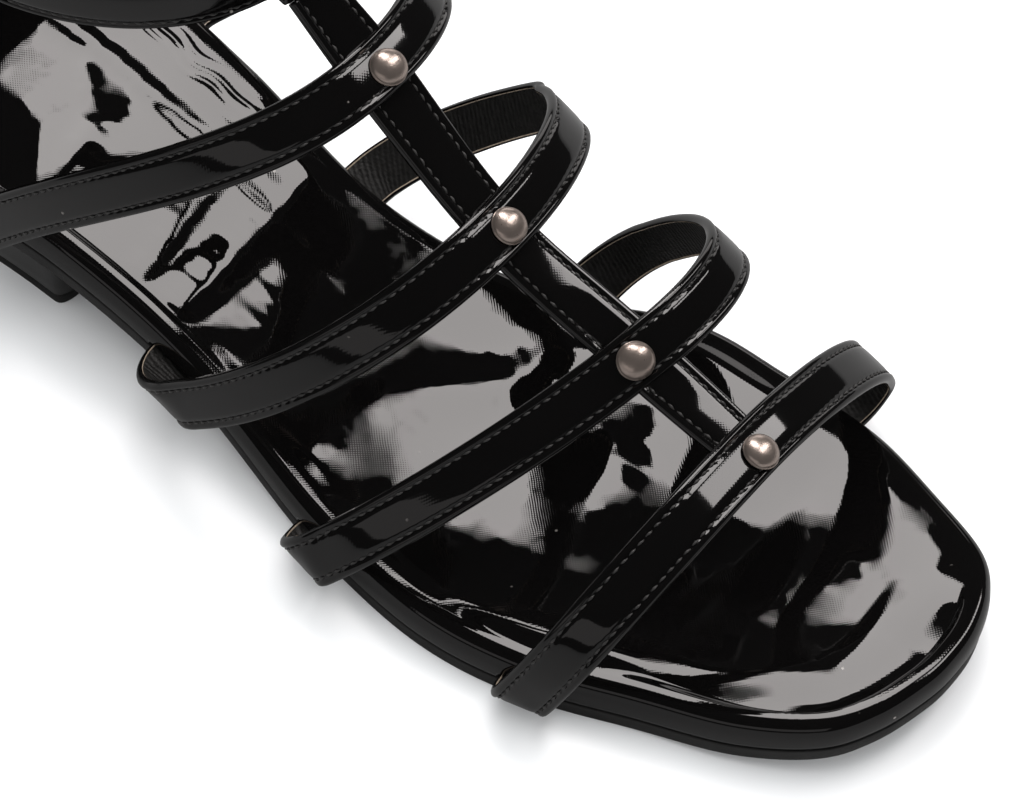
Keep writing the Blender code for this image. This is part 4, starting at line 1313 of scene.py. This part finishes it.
def add_camera():
    az, el, roll = (math.radians(v) for v in (VIEW_AZIMUTH, VIEW_ELEVATION, VIEW_ROLL))
    back = np.array([math.sin(az) * math.cos(el), -math.cos(az) * math.cos(el), math.sin(el)])
    right = np.array([math.cos(az), math.sin(az), 0.0])
    up = np.cross(back, right)
    turned = math.cos(roll) * right + math.sin(roll) * up
    upward = -math.sin(roll) * right + math.cos(roll) * up
    eye = np.array(VIEW_TARGET) + back * VIEW_DISTANCE
    data = bpy.data.cameras.new("camera")
    data.sensor_fit = "HORIZONTAL"
    data.sensor_width = 36.0
    data.lens = data.sensor_width * PIXELS_PER_METRE * VIEW_DISTANCE / PHOTO_WIDTH
    data.clip_end = 20.0
    camera = bpy.data.objects.new("camera", data)
    bpy.context.scene.collection.objects.link(camera)
    turn = Matrix((tuple(turned), tuple(upward), tuple(back))).transposed()
    camera.matrix_world = Matrix.Translation(Vector(eye)) @ turn.to_4x4()
    bpy.context.scene.camera = camera


def add_floor():
    half = 6.0
    mesh = bpy.data.meshes.new("floor")
    mesh.from_pydata([(-half, -half, 0), (half, -half, 0), (half, half, 0), (-half, half, 0)], [],
                     [(0, 1, 2, 3)])
    mesh.materials.append(floor_material())
    floor = bpy.data.objects.new("floor", mesh)
    bpy.context.scene.collection.objects.link(floor)


WARM = (1.0, 0.955, 0.94)


def soft_box(name, place_at, aim, size, radiance, glossy=True):
    """A studio light of a given size, seen in gloss but not by the camera."""
    data = bpy.data.lights.new(name, "AREA")
    data.shape = "RECTANGLE"
    data.size, data.size_y = size
    data.energy = radiance * size[0] * size[1] * math.pi
    data.color = WARM if glossy else (1.0, 1.0, 1.0)
    light = bpy.data.objects.new(name, data)
    light.location = place_at
    light.rotation_euler = (Vector(aim) - Vector(place_at)).to_track_quat("-Z", "Y").to_euler()
    light.visible_camera = False
    light.visible_glossy = glossy
    bpy.context.scene.collection.objects.link(light)
    return light


def add_lights():
    window = soft_box("window_box", (-0.425, 0.43, 1.0), (-0.425, 0.43, 0.0), (1.13, 0.33), 7.5)
    window.rotation_euler = (0.0, 0.0, math.radians(-6.0))
    soft_box("side_box", (0.465, 0.95, 1.0), (0.465, 0.95, 0.0), (0.24, 1.36), 7.5)
    soft_box("back_box", (-0.75, 0.95, 0.32), (0.05, 0.0, 0.05), (1.30, 0.42), 1.3)
    soft_box("front_box", (0.30, -1.30, 0.40), (0.10, 0.0, 0.04), (1.60, 0.40), 0.5)
    soft_box("overhead_fill", (0.1, -0.2, 2.2), (0.1, 0.0, 0.0), (1.6, 1.6), 3.0, glossy=False)


def add_world():
    """Pale backdrop for the eye, soft light for matt surfaces, darkness for gloss."""
    world = bpy.data.worlds.new("studio")
    world.use_nodes = True
    bpy.context.scene.world = world
    world.cycles.sampling_method = "NONE"
    tree = world.node_tree
    tree.nodes.clear()
    out = tree.nodes.new("ShaderNodeOutputWorld")
    path = tree.nodes.new("ShaderNodeLightPath")
    level = tree.nodes.new("ShaderNodeMath")
    level.operation = "MULTIPLY_ADD"
    tree.links.new(path.outputs["Is Diffuse Ray"], level.inputs[0])
    level.inputs[1].default_value = 1.10
    level.inputs[2].default_value = 0.03
    total = tree.nodes.new("ShaderNodeMath")
    total.operation = "MAXIMUM"
    tree.links.new(level.outputs[0], total.inputs[0])
    tree.links.new(path.outputs["Is Camera Ray"], total.inputs[1])
    glow = tree.nodes.new("ShaderNodeBackground")
    glow.inputs["Color"].default_value = (1.0, 1.0, 1.0, 1.0)
    tree.links.new(total.outputs[0], glow.inputs["Strength"])
    tree.links.new(glow.outputs[0], out.inputs["Surface"])


def add_view():
    bpy.context.scene.view_settings.view_transform = "Standard"


# The whole shoe


def main():
    add_camera()
    add_floor()
    add_lights()
    add_world()
    add_view()
    footbed = patent_material("black_patent_footbed", BLACK, 0.008, 0.0000023, 0.000020)
    patent = patent_material("black_patent_strap", BLACK, 0.05, 0.000002, 0.00003)
    finishes = [patent, raw_edge_material(), lining_material()]
    metal = metal_material()
    rubber = outsole_material()
    make_insole(footbed)
    make_outsole(rubber)
    make_heel(patent, rubber)
    centre = make_strap("centre_strap", centre_stations(), finishes, caps=True)
    place(centre, "strap_patent", "upper_straps")
    for strap in LEGS:
        place(make_strap(f"{strap}_strap", strap_stations(strap), finishes, caps=True), "strap_patent")
    loop = skin("centre_strap_loop", sleeve_grid(0.0, 0.0, STRAP_THICK, LOOP_LENGTH), [patent],
                closed=True)
    place(loop, "strap_patent")
    make_studs(metal)
    make_counter(finishes)
    ankle = make_strap("ankle_band", ankle_stations(), finishes, caps=True)
    place(ankle, "strap_patent", "ankle_strap")
    make_buckle(metal)
    make_keeper(patent)


main()
